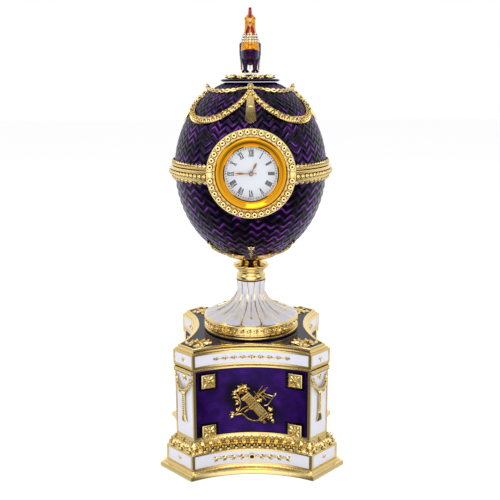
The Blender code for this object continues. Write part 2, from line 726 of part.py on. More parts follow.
def swags():
    """Four knots on the lid, with ribbons and leafy swags between them and a pendant under each."""
    made = []
    knot_height = EGG_FLAT - KNOT_BELOW_TOP
    start = egg_height_at(KNOT_FROM_AXIS - KNOT_RADIUS)
    for quarter in range(4):
        azimuth = quarter * math.pi / 2
        outward = Vector((math.sin(azimuth), -math.cos(azimuth), 0))
        knot = outward * KNOT_FROM_AXIS + Vector((0, 0, knot_height))
        made.append(lump("knot", knot, [KNOT_RADIUS] * 3))
        root = [on_egg(azimuth, start - 0.001, -0.0008), knot]
        made.append(sweep("knot_root", root, [KNOT_RADIUS * 0.8, KNOT_RADIUS * 0.6], 4, facing=outward))
        path, sizes, facing = [], [], []
        for step in range(SWAG_STEPS + 1):
            share = step / SWAG_STEPS
            turn = azimuth + share * math.pi / 2
            height = start - SWAG_DROP * (1 - (2 * share - 1) ** 2)
            path.append(on_egg(turn, height, 0.0006))
            sizes.append(SWAG_THICK / 2 * (0.62 + 0.38 * math.sin(math.pi * share)))
            facing.append(Vector((math.sin(turn), -math.cos(turn), 0.5)).normalized())
        made.append(sweep("swag", path, sizes, 4, flat=0.7, facing=facing))
        path, sizes, facing = [], [], []
        for step in range(RIBBON_STEPS + 1):
            share = step / RIBBON_STEPS
            turn = azimuth + share * math.pi / 2
            reach = KNOT_FROM_AXIS - KNOT_RADIUS * 0.4 * math.sin(math.pi * share)
            height = knot_height - RIBBON_SAG * math.sin(math.pi * share) - KNOT_RADIUS * 0.4
            path.append(Vector((reach * math.sin(turn), -reach * math.cos(turn), height - 0.0004)))
            sizes.append(0.0011)
            facing.append(Vector((math.sin(turn), -math.cos(turn), 0.9)).normalized())
        made.append(sweep("ribbon", path, sizes, 4, flat=0.9, facing=facing))
        drop, sizes = [], []
        for share in (0, 0.5, 1):
            drop.append(on_egg(azimuth, start - PENDANT_LENGTH * share, 0.0004))
            sizes.append(PENDANT_WIDTH / 2 * (0.55 + 0.45 * share))
        made.append(sweep("pendant", drop, sizes, 4, flat=0.45, facing=outward))
    return made


def egg_height_at(reach):
    """Height of the upper egg's surface at a distance from the axis."""
    return WAIST + EGG_ABOVE * math.sqrt(1 - (reach / EGG_RADIUS) ** 2)


def egg_lid(material):
    """The hollow upper half with its rim band, clock ring, swags and flat crown."""
    low = SPLIT + GAP / 2
    crown = math.acos(EGG_FLAT_RADIUS / EGG_RADIUS)
    inner = EGG_RADIUS - EGG_WALL
    profile = [(inner, low), (LID_BAND_RADIUS, low), (LID_BAND_RADIUS, low + LID_BAND_HEIGHT)]
    first = math.asin((low + LID_BAND_HEIGHT + 0.0004 - WAIST) / EGG_ABOVE)
    profile += [egg_point(first + (crown - first) * step / 5) for step in range(6)]
    profile.append((0, EGG_FLAT))
    profile.append((0, EGG_FLAT - EGG_WALL))
    crown_in = math.acos(min((EGG_FLAT_RADIUS - EGG_WALL / 2) / inner, 1))
    profile += [egg_point(crown_in * (1 - step / 4), EGG_WALL) for step in range(1, 4)]
    shell = lathe("lid", profile, ROUND, closed=True)
    lid = fuse("lid_cut", [shell], [clock_hole()])
    ring, *beads = clock_ring(True)
    ring = fuse("ring_high", [ring], [half_space(False)])
    return fuse("egg_lid", [lid, ring, *beads, *swags()], material=material, sliver=SLIVER)


def wreath(material):
    """The dark plate on the lid's crown and the ring of gilt leaves on it."""
    leaves = WREATH_LEAVES
    plate = [
        (0, 0),
        (PLATE_RADIUS - EDGE, 0),
        (PLATE_RADIUS, STAND_THICK / 2),
        (PLATE_RADIUS - EDGE, STAND_THICK),
        (0, STAND_THICK),
    ]
    rise = STAND_THICK + WREATH_HEIGHT
    mound = [
        (0, STAND_THICK / 2),
        (WREATH_RADIUS - 0.0030, STAND_THICK / 2),
        (WREATH_RADIUS, STAND_THICK + WREATH_HEIGHT * 0.45),
        (WREATH_RADIUS - 0.0022, rise),
        (WREATH_RADIUS * 0.55, rise - 0.0007),
        (WREATH_RADIUS * 0.35, rise),
        (0, rise),
    ]

    def scallop(index, angle):
        return 1 + (0.09 * math.cos(leaves * angle) if index in (1, 2, 3) else 0)

    parts = [lathe("plate", plate, leaves * 2), lathe("mound", mound, leaves * 2, scallop=scallop)]
    for item in parts:
        move(item, Matrix.Translation((0, 0, STAND_FROM)))
    return fuse("wreath", parts, material=material)


def cockerel(material):
    """A crowing cockerel that faces the front. All of it is a share of its height."""
    unit = BIRD_HEIGHT

    def at(x, y, z):
        return Vector((x * unit, y * unit, BIRD_FROM + z * unit))

    def oval(y, z, wide, deep, sides=8, lean=0.0):
        ring = []
        for step in range(sides):
            angle = math.tau * step / sides
            forward = math.sin(angle) * deep
            ring.append(at(math.cos(angle) * wide, y + forward, z + forward * lean))
        return ring

    trunk = [
        (0.05, 0.160, 0.080, 0.09, 0.0),
        (0.05, 0.270, 0.148, 0.25, -0.2),
        (0.02, 0.360, 0.157, 0.26, -0.2),
        (-0.01, 0.450, 0.148, 0.20, 0.0),
        (-0.05, 0.535, 0.126, 0.14, 0.1),
        (-0.08, 0.620, 0.100, 0.105, 0.1),
        (-0.10, 0.700, 0.085, 0.090, 0.0),
        (-0.11, 0.790, 0.086, 0.095, 0.0),
        (-0.10, 0.865, 0.070, 0.085, 0.0),
        (-0.09, 0.905, 0.035, 0.045, 0.0),
    ]
    parts = [loft("trunk", [oval(y, z, wide, deep, lean=lean) for y, z, wide, deep, lean in trunk])]
    crest = [(-0.18, 0.84), (-0.20, 0.93), (-0.155, 0.90), (-0.14, 0.99), (-0.10, 0.92)]
    crest += [(-0.07, 0.97), (-0.05, 0.90), (0.0, 0.92), (0.0, 0.82)]
    comb = [at(side, y, z) for side in (-0.028, 0.028) for y, z in crest]
    count = len(crest)
    faces = [list(range(count)), list(range(count, 2 * count))]
    faces += [(k, (k + 1) % count, count + (k + 1) % count, count + k) for k in range(count)]
    parts.append(solid("comb", comb, faces))
    side = Vector((1, 0, 0))
    beak = [at(0, -0.16, 0.80), at(0, -0.275, 0.775)]
    parts.append(sweep("beak", beak, [0.035 * unit, 0.004 * unit], 5, facing=side))
    jaw = [at(0, -0.15, 0.755), at(0, -0.25, 0.705)]
    parts.append(sweep("jaw", jaw, [0.026 * unit, 0.004 * unit], 5, facing=side))
    for hand in (-1, 1):
        lobe = [at(0.012 * hand, -0.17, 0.76), at(0.045 * hand, -0.205, 0.69), at(0.062 * hand, -0.20, 0.635)]
        parts.append(sweep("wattle", lobe, [0.014 * unit, 0.024 * unit, 0.016 * unit], 4, facing=side))
        line = ((0.12, -0.06, 0.50), (0.155, 0.04, 0.46), (0.165, 0.16, 0.36), (0.12, 0.30, 0.24))
        wing = [at(x * hand, y, z) for x, y, z in line]
        sizes = [share * unit for share in (0.04, 0.10, 0.10, 0.03)]
        parts.append(sweep("wing", wing, sizes, 5, flat=0.28, facing=side))
        thigh = [at(0.085 * hand, y, z) for y, z in ((0.02, 0.24), (0.0, 0.15), (0.01, 0.04), (0.0, 0.0))]
        sizes = [share * unit for share in (0.075, 0.045, 0.026, 0.03)]
        parts.append(sweep("leg", thigh, sizes, 4, facing=side))
        for x, y in ((-0.055, -0.09), (0.0, -0.12), (0.055, -0.09), (0.0, 0.08)):
            toe = [at(0.085 * hand, 0.0, 0.03), at(0.085 * hand + x, y, 0.012)]
            parts.append(sweep("toe", toe, [0.022 * unit, 0.012 * unit], 4))
    for share in (0.0, 0.35, 0.7, 1.0):
        reach, rise = 0.30 + 0.10 * share, 0.34 - 0.28 * share
        plume = []
        for step in range(PLUME_STEPS + 1):
            turn = math.radians(150) * step / PLUME_STEPS
            y = 0.14 + reach * 0.5 * (1 - math.cos(turn))
            z = 0.34 + rise * math.sin(turn + math.radians(8)) - 0.35 * share * step / PLUME_STEPS
            plume.append(at(0.02 * (-1) ** round(share * 3), y, z))
        sizes = [share * unit for share in (0.05, 0.055, 0.052, 0.04, 0.012)]
        parts.append(sweep("plume", plume, sizes, 4, flat=0.5, facing=side))
    return fuse("cockerel", parts, material=material, smooth=math.radians(50))


def clock_case(material):
    """The can behind the dial, with the arbor that carries the hands."""
    back = SEAT_FACE - CASE_DEPTH
    front = SEAT_FACE
    tip = hand_level(3) - HAND_SPACE / 2
    can = [(0, back), (CASE_RADIUS, back), (CASE_RADIUS, front), (0, front)]
    root = front - CASE_DEPTH / 4
    pin = [(0, root), (ARBOR_RADIUS, root), (ARBOR_RADIUS, tip), (0, tip)]
    parts = [lathe("can", can, ROUND), lathe("pin", pin, HUB_ROUND)]
    for item in parts:
        move(item, clock_frame())
    return fuse("clock_case", parts, material=material)


def hand_level(order):
    """Depth of the back of a hand: 0 is next to the dial."""
    dial_face = BEZEL_FACE - BEZEL_DEPTH + DIAL_THICK
    return dial_face + HAND_SPACE + order * (HAND_THICK + HAND_SPACE)


def clock_turned(name, profile, segments, material, closed=False):
    item = lathe(name + "_core", profile, segments, closed=closed)
    return fuse(name, [move(item, clock_frame())], material=material)


def clock_bezel(material):
    back = BEZEL_FACE - BEZEL_DEPTH
    glass_front = hand_level(3) + GLASS_THICK + GAP
    profile = [
        (REBATE_RADIUS, back),
        (BEZEL_RADIUS, back),
        (BEZEL_RADIUS, BEZEL_FACE - 2 * EDGE),
        (BEZEL_RADIUS - 2 * EDGE, BEZEL_FACE),
        (BEZEL_STEP, BEZEL_FACE - 2 * EDGE),
        (BEZEL_SIGHT, glass_front),
        (REBATE_RADIUS, glass_front),
    ]
    return clock_turned("clock_bezel", profile, ROUND, material, closed=True)


def clock_glass(material):
    radius = REBATE_RADIUS - GAP
    back = hand_level(3)
    profile = [(0, back), (radius, back), (radius, back + GLASS_THICK), (0, back + GLASS_THICK)]
    return clock_turned("clock_glass", profile, SMALL_ROUND, material)


def clock_dial(material):
    radius = REBATE_RADIUS - GAP
    hole = ARBOR_RADIUS + HAND_CLEARANCE
    back = BEZEL_FACE - BEZEL_DEPTH
    profile = [(hole, back), (radius, back), (radius, back + DIAL_THICK), (hole, back + DIAL_THICK)]
    return clock_turned("clock_dial", profile, SMALL_ROUND, material, closed=True)


def clock_hand(name, order, angle, length, width, tail, material):
    """A flat hand round the arbor, with its origin on the clock's axis."""
    hole = ARBOR_RADIUS + HAND_CLEARANCE
    low = hand_level(order)
    high = low + HAND_THICK
    rim = [(hole, low), (HUB_RADIUS, low), (HUB_RADIUS, high), (hole, high)]
    hub = lathe("hub", rim, HUB_ROUND, closed=True)
    inner = (hole + HUB_RADIUS) / 2
    outline = [(-width * 0.3, inner), (-width / 2, length * 0.66), (0, length)]
    outline += [(width / 2, length * 0.66), (width * 0.3, inner)]
    rings = [[Vector((x, y, z)) for x, y in outline] for z in (low, high)]
    parts = [hub, loft("blade", rings)]
    if tail:
        outline = [(-width / 2, -inner), (width / 2, -inner), (width / 2, -tail), (-width / 2, -tail)]
        parts.append(loft("tail", [[Vector((x, y, z)) for x, y in outline] for z in (low, high)]))
    for part in parts:
        move(part, Matrix.Rotation(-math.radians(angle), 4, "Z"))
    hand = fuse(name, parts, material=material)
    hand.matrix_world = clock_frame()
    return hand


def build():
    clear_scene()
    gilt = finish("gilt casting", (0.83, 0.56, 0.16), 0.22, 1.0)
    violet = finish("violet enamel", (0.09, 0.012, 0.16), 0.12, 0.3)
    white = finish("white enamel", (0.86, 0.86, 0.90), 0.18, 0.0)
    pedestal(finish("enamelled pedestal", (0.30, 0.16, 0.26), 0.2, 0.4))
    foot(white)
    collar(gilt)
    egg_bowl(violet)
    egg_lid(finish("violet enamel lid", (0.11, 0.015, 0.19), 0.12, 0.3))
    wreath(finish("gilt wreath", (0.80, 0.52, 0.14), 0.25, 1.0))
    cockerel(finish("painted cockerel", (0.80, 0.34, 0.03), 0.25, 0.2))
    clock_case(finish("steel can", (0.45, 0.45, 0.46), 0.35, 0.9))
    clock_bezel(finish("polished gold bezel", (0.90, 0.62, 0.12), 0.10, 1.0))
    clock_dial(finish("white dial", (0.87, 0.89, 0.93), 0.4, 0.0))
    clock_glass(finish("clock glass", (0.95, 0.97, 1.0), 0.03, 0.0))
    bronze = finish("bronzed hands", (0.16, 0.08, 0.03), 0.3, 0.8)
    clock_hand("hour_hand", 0, HOUR_ANGLE, HOUR_LENGTH, HOUR_WIDTH, 0, bronze)
    clock_hand("minute_hand", 1, MINUTE_ANGLE, MINUTE_LENGTH, MINUTE_WIDTH, 0, bronze)
    clock_hand("second_hand", 2, SECOND_ANGLE, SECOND_LENGTH, SECOND_WIDTH, SECOND_TAIL, bronze)


build()
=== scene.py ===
"""The looks of the enamelled egg clock: gilt casting, enamel over engine turning, dial and cockerel.

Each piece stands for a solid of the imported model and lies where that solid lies. Metres, +Z up,
and the dial faces -Y.
"""
import math

import bmesh
import bpy
from mathutils import Matrix, Vector, noise


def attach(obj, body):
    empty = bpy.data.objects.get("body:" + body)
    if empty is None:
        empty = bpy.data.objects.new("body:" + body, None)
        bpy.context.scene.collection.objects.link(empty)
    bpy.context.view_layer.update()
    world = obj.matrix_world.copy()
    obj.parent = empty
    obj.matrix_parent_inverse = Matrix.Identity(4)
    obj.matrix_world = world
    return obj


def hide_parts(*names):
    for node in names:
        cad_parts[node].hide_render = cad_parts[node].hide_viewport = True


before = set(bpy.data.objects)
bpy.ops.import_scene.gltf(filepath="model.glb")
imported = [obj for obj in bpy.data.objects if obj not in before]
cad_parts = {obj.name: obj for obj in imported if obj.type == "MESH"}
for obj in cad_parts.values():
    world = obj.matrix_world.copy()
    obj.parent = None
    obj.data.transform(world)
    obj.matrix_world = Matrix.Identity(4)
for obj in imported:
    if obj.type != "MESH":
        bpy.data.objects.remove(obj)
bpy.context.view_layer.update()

bl_info = {
    "name": "Enamelled egg clock",
    "version": (1, 0, 0),
    "blender": (4, 5, 0),
    "location": "View3D > Sidebar > Egg clock",
    "description": "Dresses the packed model of an enamelled egg clock with its gilt, enamel and dial",
    "category": "Object",
}

UP = Vector((0, 0, 1))
TAU = math.tau

# Pedestal: half widths run to the edge of a cut corner
SLAB_HALF, SLAB_HEIGHT, STEP_HEIGHT = 0.0508, 0.0025, 0.0014
PLINTH_HALF, PLINTH_HEIGHT, LEAF_RISE = 0.0471, 0.0090, 0.0060
SHAFT_HALF, SHAFT_HEIGHT, NECKING_HEIGHT = 0.0415, 0.0407, 0.0006
ENTABLATURE_HALF, ENTABLATURE_HEIGHT = 0.0423, 0.0079
CAP_HALF, CAP_HEIGHT, DECK_RIM, DECK_SINK = 0.0398, 0.0025, 0.0012, 0.0004
CHORD_HALF, CHORD_GROWTH, SIDE_SAG, EDGE = 0.0312, 0.15, 0.0084, 0.0004
PLATE_SIZE, PLATE_ACROSS, PLATE_FROM_BOTTOM, PLATE_FROM_TOP = 0.0076, 0.0232, 0.0038, 0.0078
TROPHY_HEIGHT, TROPHY_RISE = 0.0229, 0.0188
GARLAND_WIDTH, GARLAND_DROP, TASSEL_DROP = 0.0126, 0.0108, 0.0190

# Foot, collar and egg
FOOT_RADIUS, FOOT_RING_HEIGHT, LAUREL_HEIGHT, FOOT_FLARE_HEIGHT = 0.0270, 0.0018, 0.0064, 0.0133
FOOT_STEM_RADIUS, FOOT_STEM_TOP_RADIUS, FOOT_HEIGHT, FLUTES = 0.0080, 0.0084, 0.0283, 14
COLLAR_RADIUS, COLLAR_DISH_RADIUS, COLLAR_NECK_RADIUS, COLLAR_HEIGHT = 0.0083, 0.0102, 0.0062, 0.0114
EGG_RADIUS, EGG_BELOW, EGG_ABOVE, EGG_WALL, EGG_FLAT_RADIUS = 0.0417, 0.0513, 0.0486, 0.0018, 0.0137
BELT_BEAD_RADIUS, BELT_BAND_RADIUS, BELT_DROP = 0.0450, 0.0434, 0.0060
LID_BAND_RADIUS, LID_BAND_HEIGHT = 0.0430, 0.0020
KNOT_RADIUS, KNOT_FROM_AXIS, KNOT_BELOW_TOP = 0.0016, 0.0229, 0.0020
SWAG_DROP, PENDANT_LENGTH, PENDANT_WIDTH = 0.0150, 0.0160, 0.0048

# Clock, with depths counted from the egg's axis towards the front
RING_RADIUS, RING_BORE, RING_FACE, RING_BACK, SEAT_RADIUS = 0.0225, 0.0192, 0.0428, 0.0320, 0.0169
BEZEL_RADIUS, BEZEL_FACE, BEZEL_DEPTH, BEZEL_SIGHT, BEZEL_STEP = 0.01825, 0.0435, 0.0040, 0.0134, 0.0146
REBATE_RADIUS, GLASS_THICK, DIAL_THICK, HAND_THICK, HAND_SPACE = 0.0143, 0.0005, 0.0005, 0.0002, 0.0003
ARBOR_HOLE, HUB_RADIUS = 0.0008, 0.00115

# Levels worked out from the sizes above
GAP = 0.0003
PLINTH_FROM = SLAB_HEIGHT + STEP_HEIGHT
PLINTH_TO = PLINTH_FROM + PLINTH_HEIGHT
SHAFT_FROM = PLINTH_TO + LEAF_RISE
SHAFT_TO = SHAFT_FROM + SHAFT_HEIGHT
ENTABLATURE_FROM = SHAFT_TO + NECKING_HEIGHT
ENTABLATURE_TO = ENTABLATURE_FROM + ENTABLATURE_HEIGHT
CAP_TO = ENTABLATURE_TO + CAP_HEIGHT
DECK = CAP_TO - DECK_SINK
FOOT_FROM = DECK + GAP
COLLAR_FROM = FOOT_FROM + FOOT_HEIGHT + GAP
WAIST = COLLAR_FROM + COLLAR_HEIGHT + GAP + EGG_BELOW
SPLIT = WAIST + 0.0023
CLOCK = WAIST + 0.0013
EGG_FLAT = WAIST + EGG_ABOVE * math.sqrt(1 - (EGG_FLAT_RADIUS / EGG_RADIUS) ** 2)
STAND_FROM = EGG_FLAT + GAP
STAND_TO = STAND_FROM + 0.0014
WREATH_TO = STAND_TO + 0.0025
BIRD_FROM = WREATH_TO + GAP
DIAL_BACK = BEZEL_FACE - BEZEL_DEPTH
HAND_LEVELS = [DIAL_BACK + DIAL_THICK + HAND_SPACE + k * (HAND_THICK + HAND_SPACE) for k in range(4)]


def linear(code):
    """An sRGB hex colour as the linear values that Blender's sockets take."""
    shares = [int(code[k:k + 2], 16) / 255 for k in (1, 3, 5)]
    return (*[s / 12.92 if s <= 0.04045 else ((s + 0.055) / 1.055) ** 2.4 for s in shares], 1.0)


def colour(title, hint, code):
    return bpy.props.FloatVectorProperty(
        name=title, description=hint, subtype="COLOR", size=4, min=0, max=1, default=linear(code))


def length(title, hint, size):
    return bpy.props.FloatProperty(
        name=title, description=hint, subtype="DISTANCE", unit="LENGTH", default=size, precision=5)


class EggClockSizes(bpy.types.PropertyGroup):
    """Sizes of the patterns that the solids leave out."""

    bowl_waves: bpy.props.IntProperty(
        name="Bowl waves", description="Waves in one row round the lower half", default=32, min=8)
    bowl_pitch: length("Bowl row", "Distance between two rows of waves on the lower half", 0.0045)
    bowl_wave: length("Bowl wave", "How far a wave rises and falls from its row", 0.0013)
    lid_waves: bpy.props.IntProperty(
        name="Lid zigzags", description="Zigzags in one row round the lid", default=36, min=8)
    lid_pitch: length("Lid row", "Distance between two rows of zigzags on the lid", 0.0038)
    lid_wave: length("Lid zigzag", "How far a zigzag rises and falls from its row", 0.0017)
    relief: length("Relief", "Depth of the engine turning on the egg", 0.00038)
    panel_pitch: length("Panel line", "Distance between engine-turned lines on the pedestal", 0.0011)
    belt_beads: bpy.props.IntProperty(
        name="Belt beads", description="Beads in the row round the egg's belt", default=93, min=24)


class EggClockColours(bpy.types.PropertyGroup):
    """Colours of the metal, the enamel and the paint, and of the painted shade and glints."""

    gold: colour("Gold plate", "Plating on the castings", "#ffe39c")
    bezel: colour("Bezel gold", "Warmer polished plating of the bezel", "#dc9c20")
    # Painted shade: the near-black brown that the gilt takes in recesses and the holes take in their middles.
    crevice_shade: colour("Recess", "What the plating looks like deep in the ornament", "#2a1402")
    white: colour("White enamel", "Opaque enamel of the foot and the pedestal", "#ececf8")
    # Painted shade: the near-black violet of the grooves in the engine turning.
    groove_shade: colour("Violet in grooves", "Thick translucent enamel low in the engine turning", "#08010f")
    violet: colour("Violet enamel", "Translucent enamel between crest and groove", "#220a3c")
    # Painted glint: the bright violet of the crests in the engine turning.
    crest_glint: colour("Violet on crests", "Thin enamel with the metal shining through", "#9a3fc0")
    panel: colour("Panel enamel", "Violet enamel of the pedestal's sides", "#2e0a5e")
    deck: colour("Deck enamel", "Dark violet enamel on the pedestal's top", "#1c1030")
    dial: colour("Dial", "Cool white paint of the dial", "#eef3fa")
    ink: colour("Numerals", "Grey print of the dial", "#24262c")
    hands: colour("Hands", "Bronzed brass", "#a86a1c")


class Form:
    """The points and faces of one piece, with a finish number for each face."""

    def __init__(self):
        self.points, self.faces, self.marks, self.values = [], [], [], {}

    def add(self, points, faces, mark=0, place=None):
        """mark is a number, or one number for each face. place is a matrix or a function."""
        start = len(self.points)
        if isinstance(place, Matrix):
            points = [place @ Vector(point) for point in points]
        elif place:
            points = [place(point) for point in points]
        self.points += [tuple(point) for point in points]
        self.faces += [[start + k for k in face] for face in faces]
        self.marks += mark if isinstance(mark, list) else [mark] * len(faces)

    def grid(self, rows, mark=0, around=False, caps=False, place=None, keep=None):
        """A surface through rows of equal length. mark and keep may ask for (level, step)."""
        count, faces, marks = len(rows[0]), [], []
        for level in range(len(rows) - 1):
            for step in range(count if around else count - 1):
                if keep and not keep(level, step):
                    continue
                after = (step + 1) % count
                low, high = level * count, (level + 1) * count
                faces.append((low + step, low + after, high + after, high + step))
                marks.append(mark(level, step) if callable(mark) else mark)
        if caps:
            last = len(rows) * count
            faces += [tuple(range(count)), tuple(range(last - count, last))]
            marks += [mark(0, 0), mark(len(rows) - 2, 0)] if callable(mark) else [mark, mark]
        self.add([point for row in rows for point in row], faces, marks, place)

    def lathe(self, profile, segments, mark=0, closed=False, reach=None, place=None):
        """Turns (radius, height) points about Z. reach(index, angle) changes the radius there."""
        angles = [TAU * step / segments for step in range(segments)]
        rows = []
        for index, (radius, height) in enumerate(profile):
            radii = [radius + (reach(index, angle) if reach and radius else 0) for angle in angles]
            rows.append([(r * math.cos(a), r * math.sin(a), height) for r, a in zip(radii, angles)])
        if closed:
            rows.append(rows[0])
        self.grid(rows, mark, around=True, place=place)

    def tube(self, path, sizes, sides=6, mark=0, facing=UP, flat=1.0, place=None, twist=0.0):
        """A rod along a path. Each size is its half width there, and flat thins it along facing."""
        rows = []
        path = [Vector(point) for point in path]
        for index, point in enumerate(path):
            along = (path[min(index + 1, len(path) - 1)] - path[max(index - 1, 0)]).normalized()
            toward = facing[index] if isinstance(facing, list) else facing
            across = along.cross(toward).normalized()
            outward = across.cross(along)
            size = sizes[index] if isinstance(sizes, list) else sizes
            row = []
            for step in range(sides):
                angle = TAU * (step + 0.5) / sides + twist * index
                row.append(point + (across * math.cos(angle) + outward * (math.sin(angle) * flat)) * size)
            rows.append(row)
        self.grid(rows, mark, around=True, caps=True, place=place)

    def ball(self, centre, radii, mark=0, place=None, segments=8, rings=5):
        radii = radii if isinstance(radii, tuple) else (radii,) * 3
        rows = []
        for ring in range(rings + 1):
            rise = math.pi * (ring / rings - 0.5)
            rows.append([(
                centre[0] + radii[0] * math.cos(rise) * math.cos(TAU * step / segments),
                centre[1] + radii[1] * math.cos(rise) * math.sin(TAU * step / segments),
                centre[2] + radii[2] * math.sin(rise)) for step in range(segments)])
        self.grid(rows, mark, around=True, place=place)

    def ring(self, radius, thick, mark=0, place=None, segments=12, sides=6, flat=1.0):
        profile = [(radius + thick * math.cos(TAU * k / sides), thick * flat * math.sin(TAU * k / sides))
                   for k in range(sides)]
        self.lathe(profile, segments, mark, closed=True, place=place)

    def leaf(self, place, width, reach, rise, mark=0, curl=0.0, lobes=0, fat=0.45, sink=0.0003, steps=6):
        """A ridged leaf along Y that swells at the share fat, curls up at its tip and sinks in below."""
        rows = []
        for step in range(steps + 1):
            share = step / steps
            bulge = share / fat if share < fat else (1 - share) / (1 - fat)
            half = width / 2 * max(math.sin(bulge * math.pi / 2), 0.12)
            half *= 1 + 0.22 * math.cos(TAU * lobes * share) if lobes else 1
            high = rise * (0.35 + 0.65 * math.sin(math.pi * min(share + 0.1, 1))) + curl * share * share
            row = [(-half, 0.1), (-half * 0.45, 0.62), (0, 1), (half * 0.45, 0.62), (half, 0.1)]
            row = [(x, reach * share, high * h) for x, h in row]
            rows.append(row + [(0, reach * share, -sink)])
        self.grid(rows, mark, around=True, caps=True, place=place)

    def block(self, low, high, mark=0, place=None):
        corners = [(x, y, z) for z in (low[2], high[2]) for y in (low[1], high[1]) for x in (low[0], high[0])]
        faces = [(0, 2, 3, 1), (4, 5, 7, 6), (0, 1, 5, 4), (2, 6, 7, 3), (0, 4, 6, 2), (1, 3, 7, 5)]
        self.add(corners, faces, mark, place)

    def make(self, name, finishes, node, body="root", smooth=38, merge=0.000002):
        """The piece as an object that rides on a body and stands for a node."""
        mesh = bpy.data.meshes.new(name)
        mesh.from_pydata(self.points, [], self.faces)
        for finish_name in finishes:
            mesh.materials.append(finish(finish_name))
        mesh.polygons.foreach_set("material_index", self.marks)
        for key, values in self.values.items():
            layer = mesh.attributes.new(key, "FLOAT", "POINT")
            layer.data.foreach_set("value", values + [0.0] * (len(self.points) - len(values)))
        shape = bmesh.new()
        shape.from_mesh(mesh)
        bmesh.ops.remove_doubles(shape, verts=shape.verts, dist=merge)
        bmesh.ops.recalc_face_normals(shape, faces=shape.faces)
        shape.to_mesh(mesh)
        shape.free()
        mesh.shade_smooth()
        mesh.set_sharp_from_angle(angle=math.radians(smooth))
        item = bpy.data.objects.new(name, mesh)
        bpy.context.scene.collection.objects.link(item)
        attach(item, body)
        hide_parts(node)
        return item


def add_node(tree, kind, inputs=None, stops=None, **settings):
    """Adds a node, sets it and its sockets, and links the sockets that take another's output."""
    made = tree.nodes.new(kind)
    for key, value in settings.items():
        setattr(made, key, value)
    for socket, value in (inputs or {}).items():
        if isinstance(value, bpy.types.NodeSocket):
            tree.links.new(value, made.inputs[socket])
        else:
            made.inputs[socket].default_value = value
    if stops:
        ramp = made.color_ramp
        ramp.elements.remove(ramp.elements[-1])
        for place, shade in stops:
            stop = ramp.elements[0] if place == stops[0][0] else ramp.elements.new(place)
            stop.position, stop.color = place, shade
    return made


def new_finish(name, base, roughness, metallic=0.0, **values):
    """A material with one Principled shader, its tree, and the object's own coordinates."""
    material = bpy.data.materials.new(name)
    material.use_nodes = True
    tree = material.node_tree
    shader = tree.nodes["Principled BSDF"]
    shader.inputs["Base Color"].default_value = base
    shader.inputs["Roughness"].default_value = roughness
    shader.inputs["Metallic"].default_value = metallic
    for key, value in values.items():
        shader.inputs[key.replace("_", " ").title().replace("Ior", "IOR")].default_value = value
    material.diffuse_color = base
    place = add_node(tree, "ShaderNodeTexCoord").outputs["Object"]
    return material, tree, shader, place


def fine_bump(tree, shader, place, grain, depth, detail=3.0):
    """Links a noise of a real grain size in metres to the shader as relief of a real depth."""
    speck = add_node(tree, "ShaderNodeTexNoise", {"Vector": place, "Scale": 1 / grain, "Detail": detail})
    bump = add_node(tree, "ShaderNodeBump", {"Height": speck.outputs["Fac"], "Distance": depth, "Strength": 0.6})
    tree.links.new(bump.outputs["Normal"], shader.inputs["Normal"])
    return speck


def gold_plate(look):
    """Gold plate on a zinc casting, with painted shade: it turns near-black brown in recesses, and its roughness
    varies.
    """
    material, tree, shader, place = new_finish("gold_plate_on_zinc_casting", look.gold, 0.17, 1.0)
    speck = fine_bump(tree, shader, place, 0.0011, 0.00004)
    # Painted shade: the occlusion mixes the gold towards near-black brown in recesses and between leaves.
    hollow = add_node(tree, "ShaderNodeAmbientOcclusion", {"Distance": 0.0011}, samples=6)
    open_share = add_node(
        tree, "ShaderNodeMapRange", {"Value": hollow.outputs["AO"], "From Min": 0.30, "From Max": 0.66})
    tone = add_node(
        tree, "ShaderNodeMix",
        {0: open_share.outputs["Result"], 6: look.crevice_shade, 7: look.gold}, data_type="RGBA")
    tree.links.new(tone.outputs[2], shader.inputs["Base Color"])
    rub = add_node(
        tree, "ShaderNodeMapRange", {"Value": speck.outputs["Fac"], "To Min": 0.13, "To Max": 0.24})
    tree.links.new(rub.outputs["Result"], shader.inputs["Roughness"])
    return material


def painted_hole_shade(look):
    """Painted shade for holes and gaps in the ornament: a flat brown that is almost black."""
    material, tree, shader, place = new_finish("painted_shade_in_holes", look.crevice_shade, 0.6, 0.4)
    fine_bump(tree, shader, place, 0.0003, 0.00001)
    return material


def polished_gold(look):
    """Polished gold plate on spun brass: mirror-like, with hair-fine turning marks."""
    material, tree, shader, place = new_finish("polished_gold_plate_on_brass", look.bezel, 0.07, 1.0)
    fine_bump(tree, shader, place, 0.0006, 0.000006, 1.0)
    return material


def white_enamel(look):
    """Opaque white soft enamel: glassy, slightly uneven where it was filled in by hand."""
    material, tree, shader, place = new_finish(
        "opaque_white_enamel", look.white, 0.12, IOR=1.5, coat_weight=0.6, coat_roughness=0.04)
    cloud = fine_bump(tree, shader, place, 0.0035, 0.00006)
    tone = add_node(
        tree, "ShaderNodeMix",
        {0: cloud.outputs["Fac"], 6: linear("#e6e7f4"), 7: look.white}, data_type="RGBA")
    tree.links.new(tone.outputs[2], shader.inputs["Base Color"])
    return material


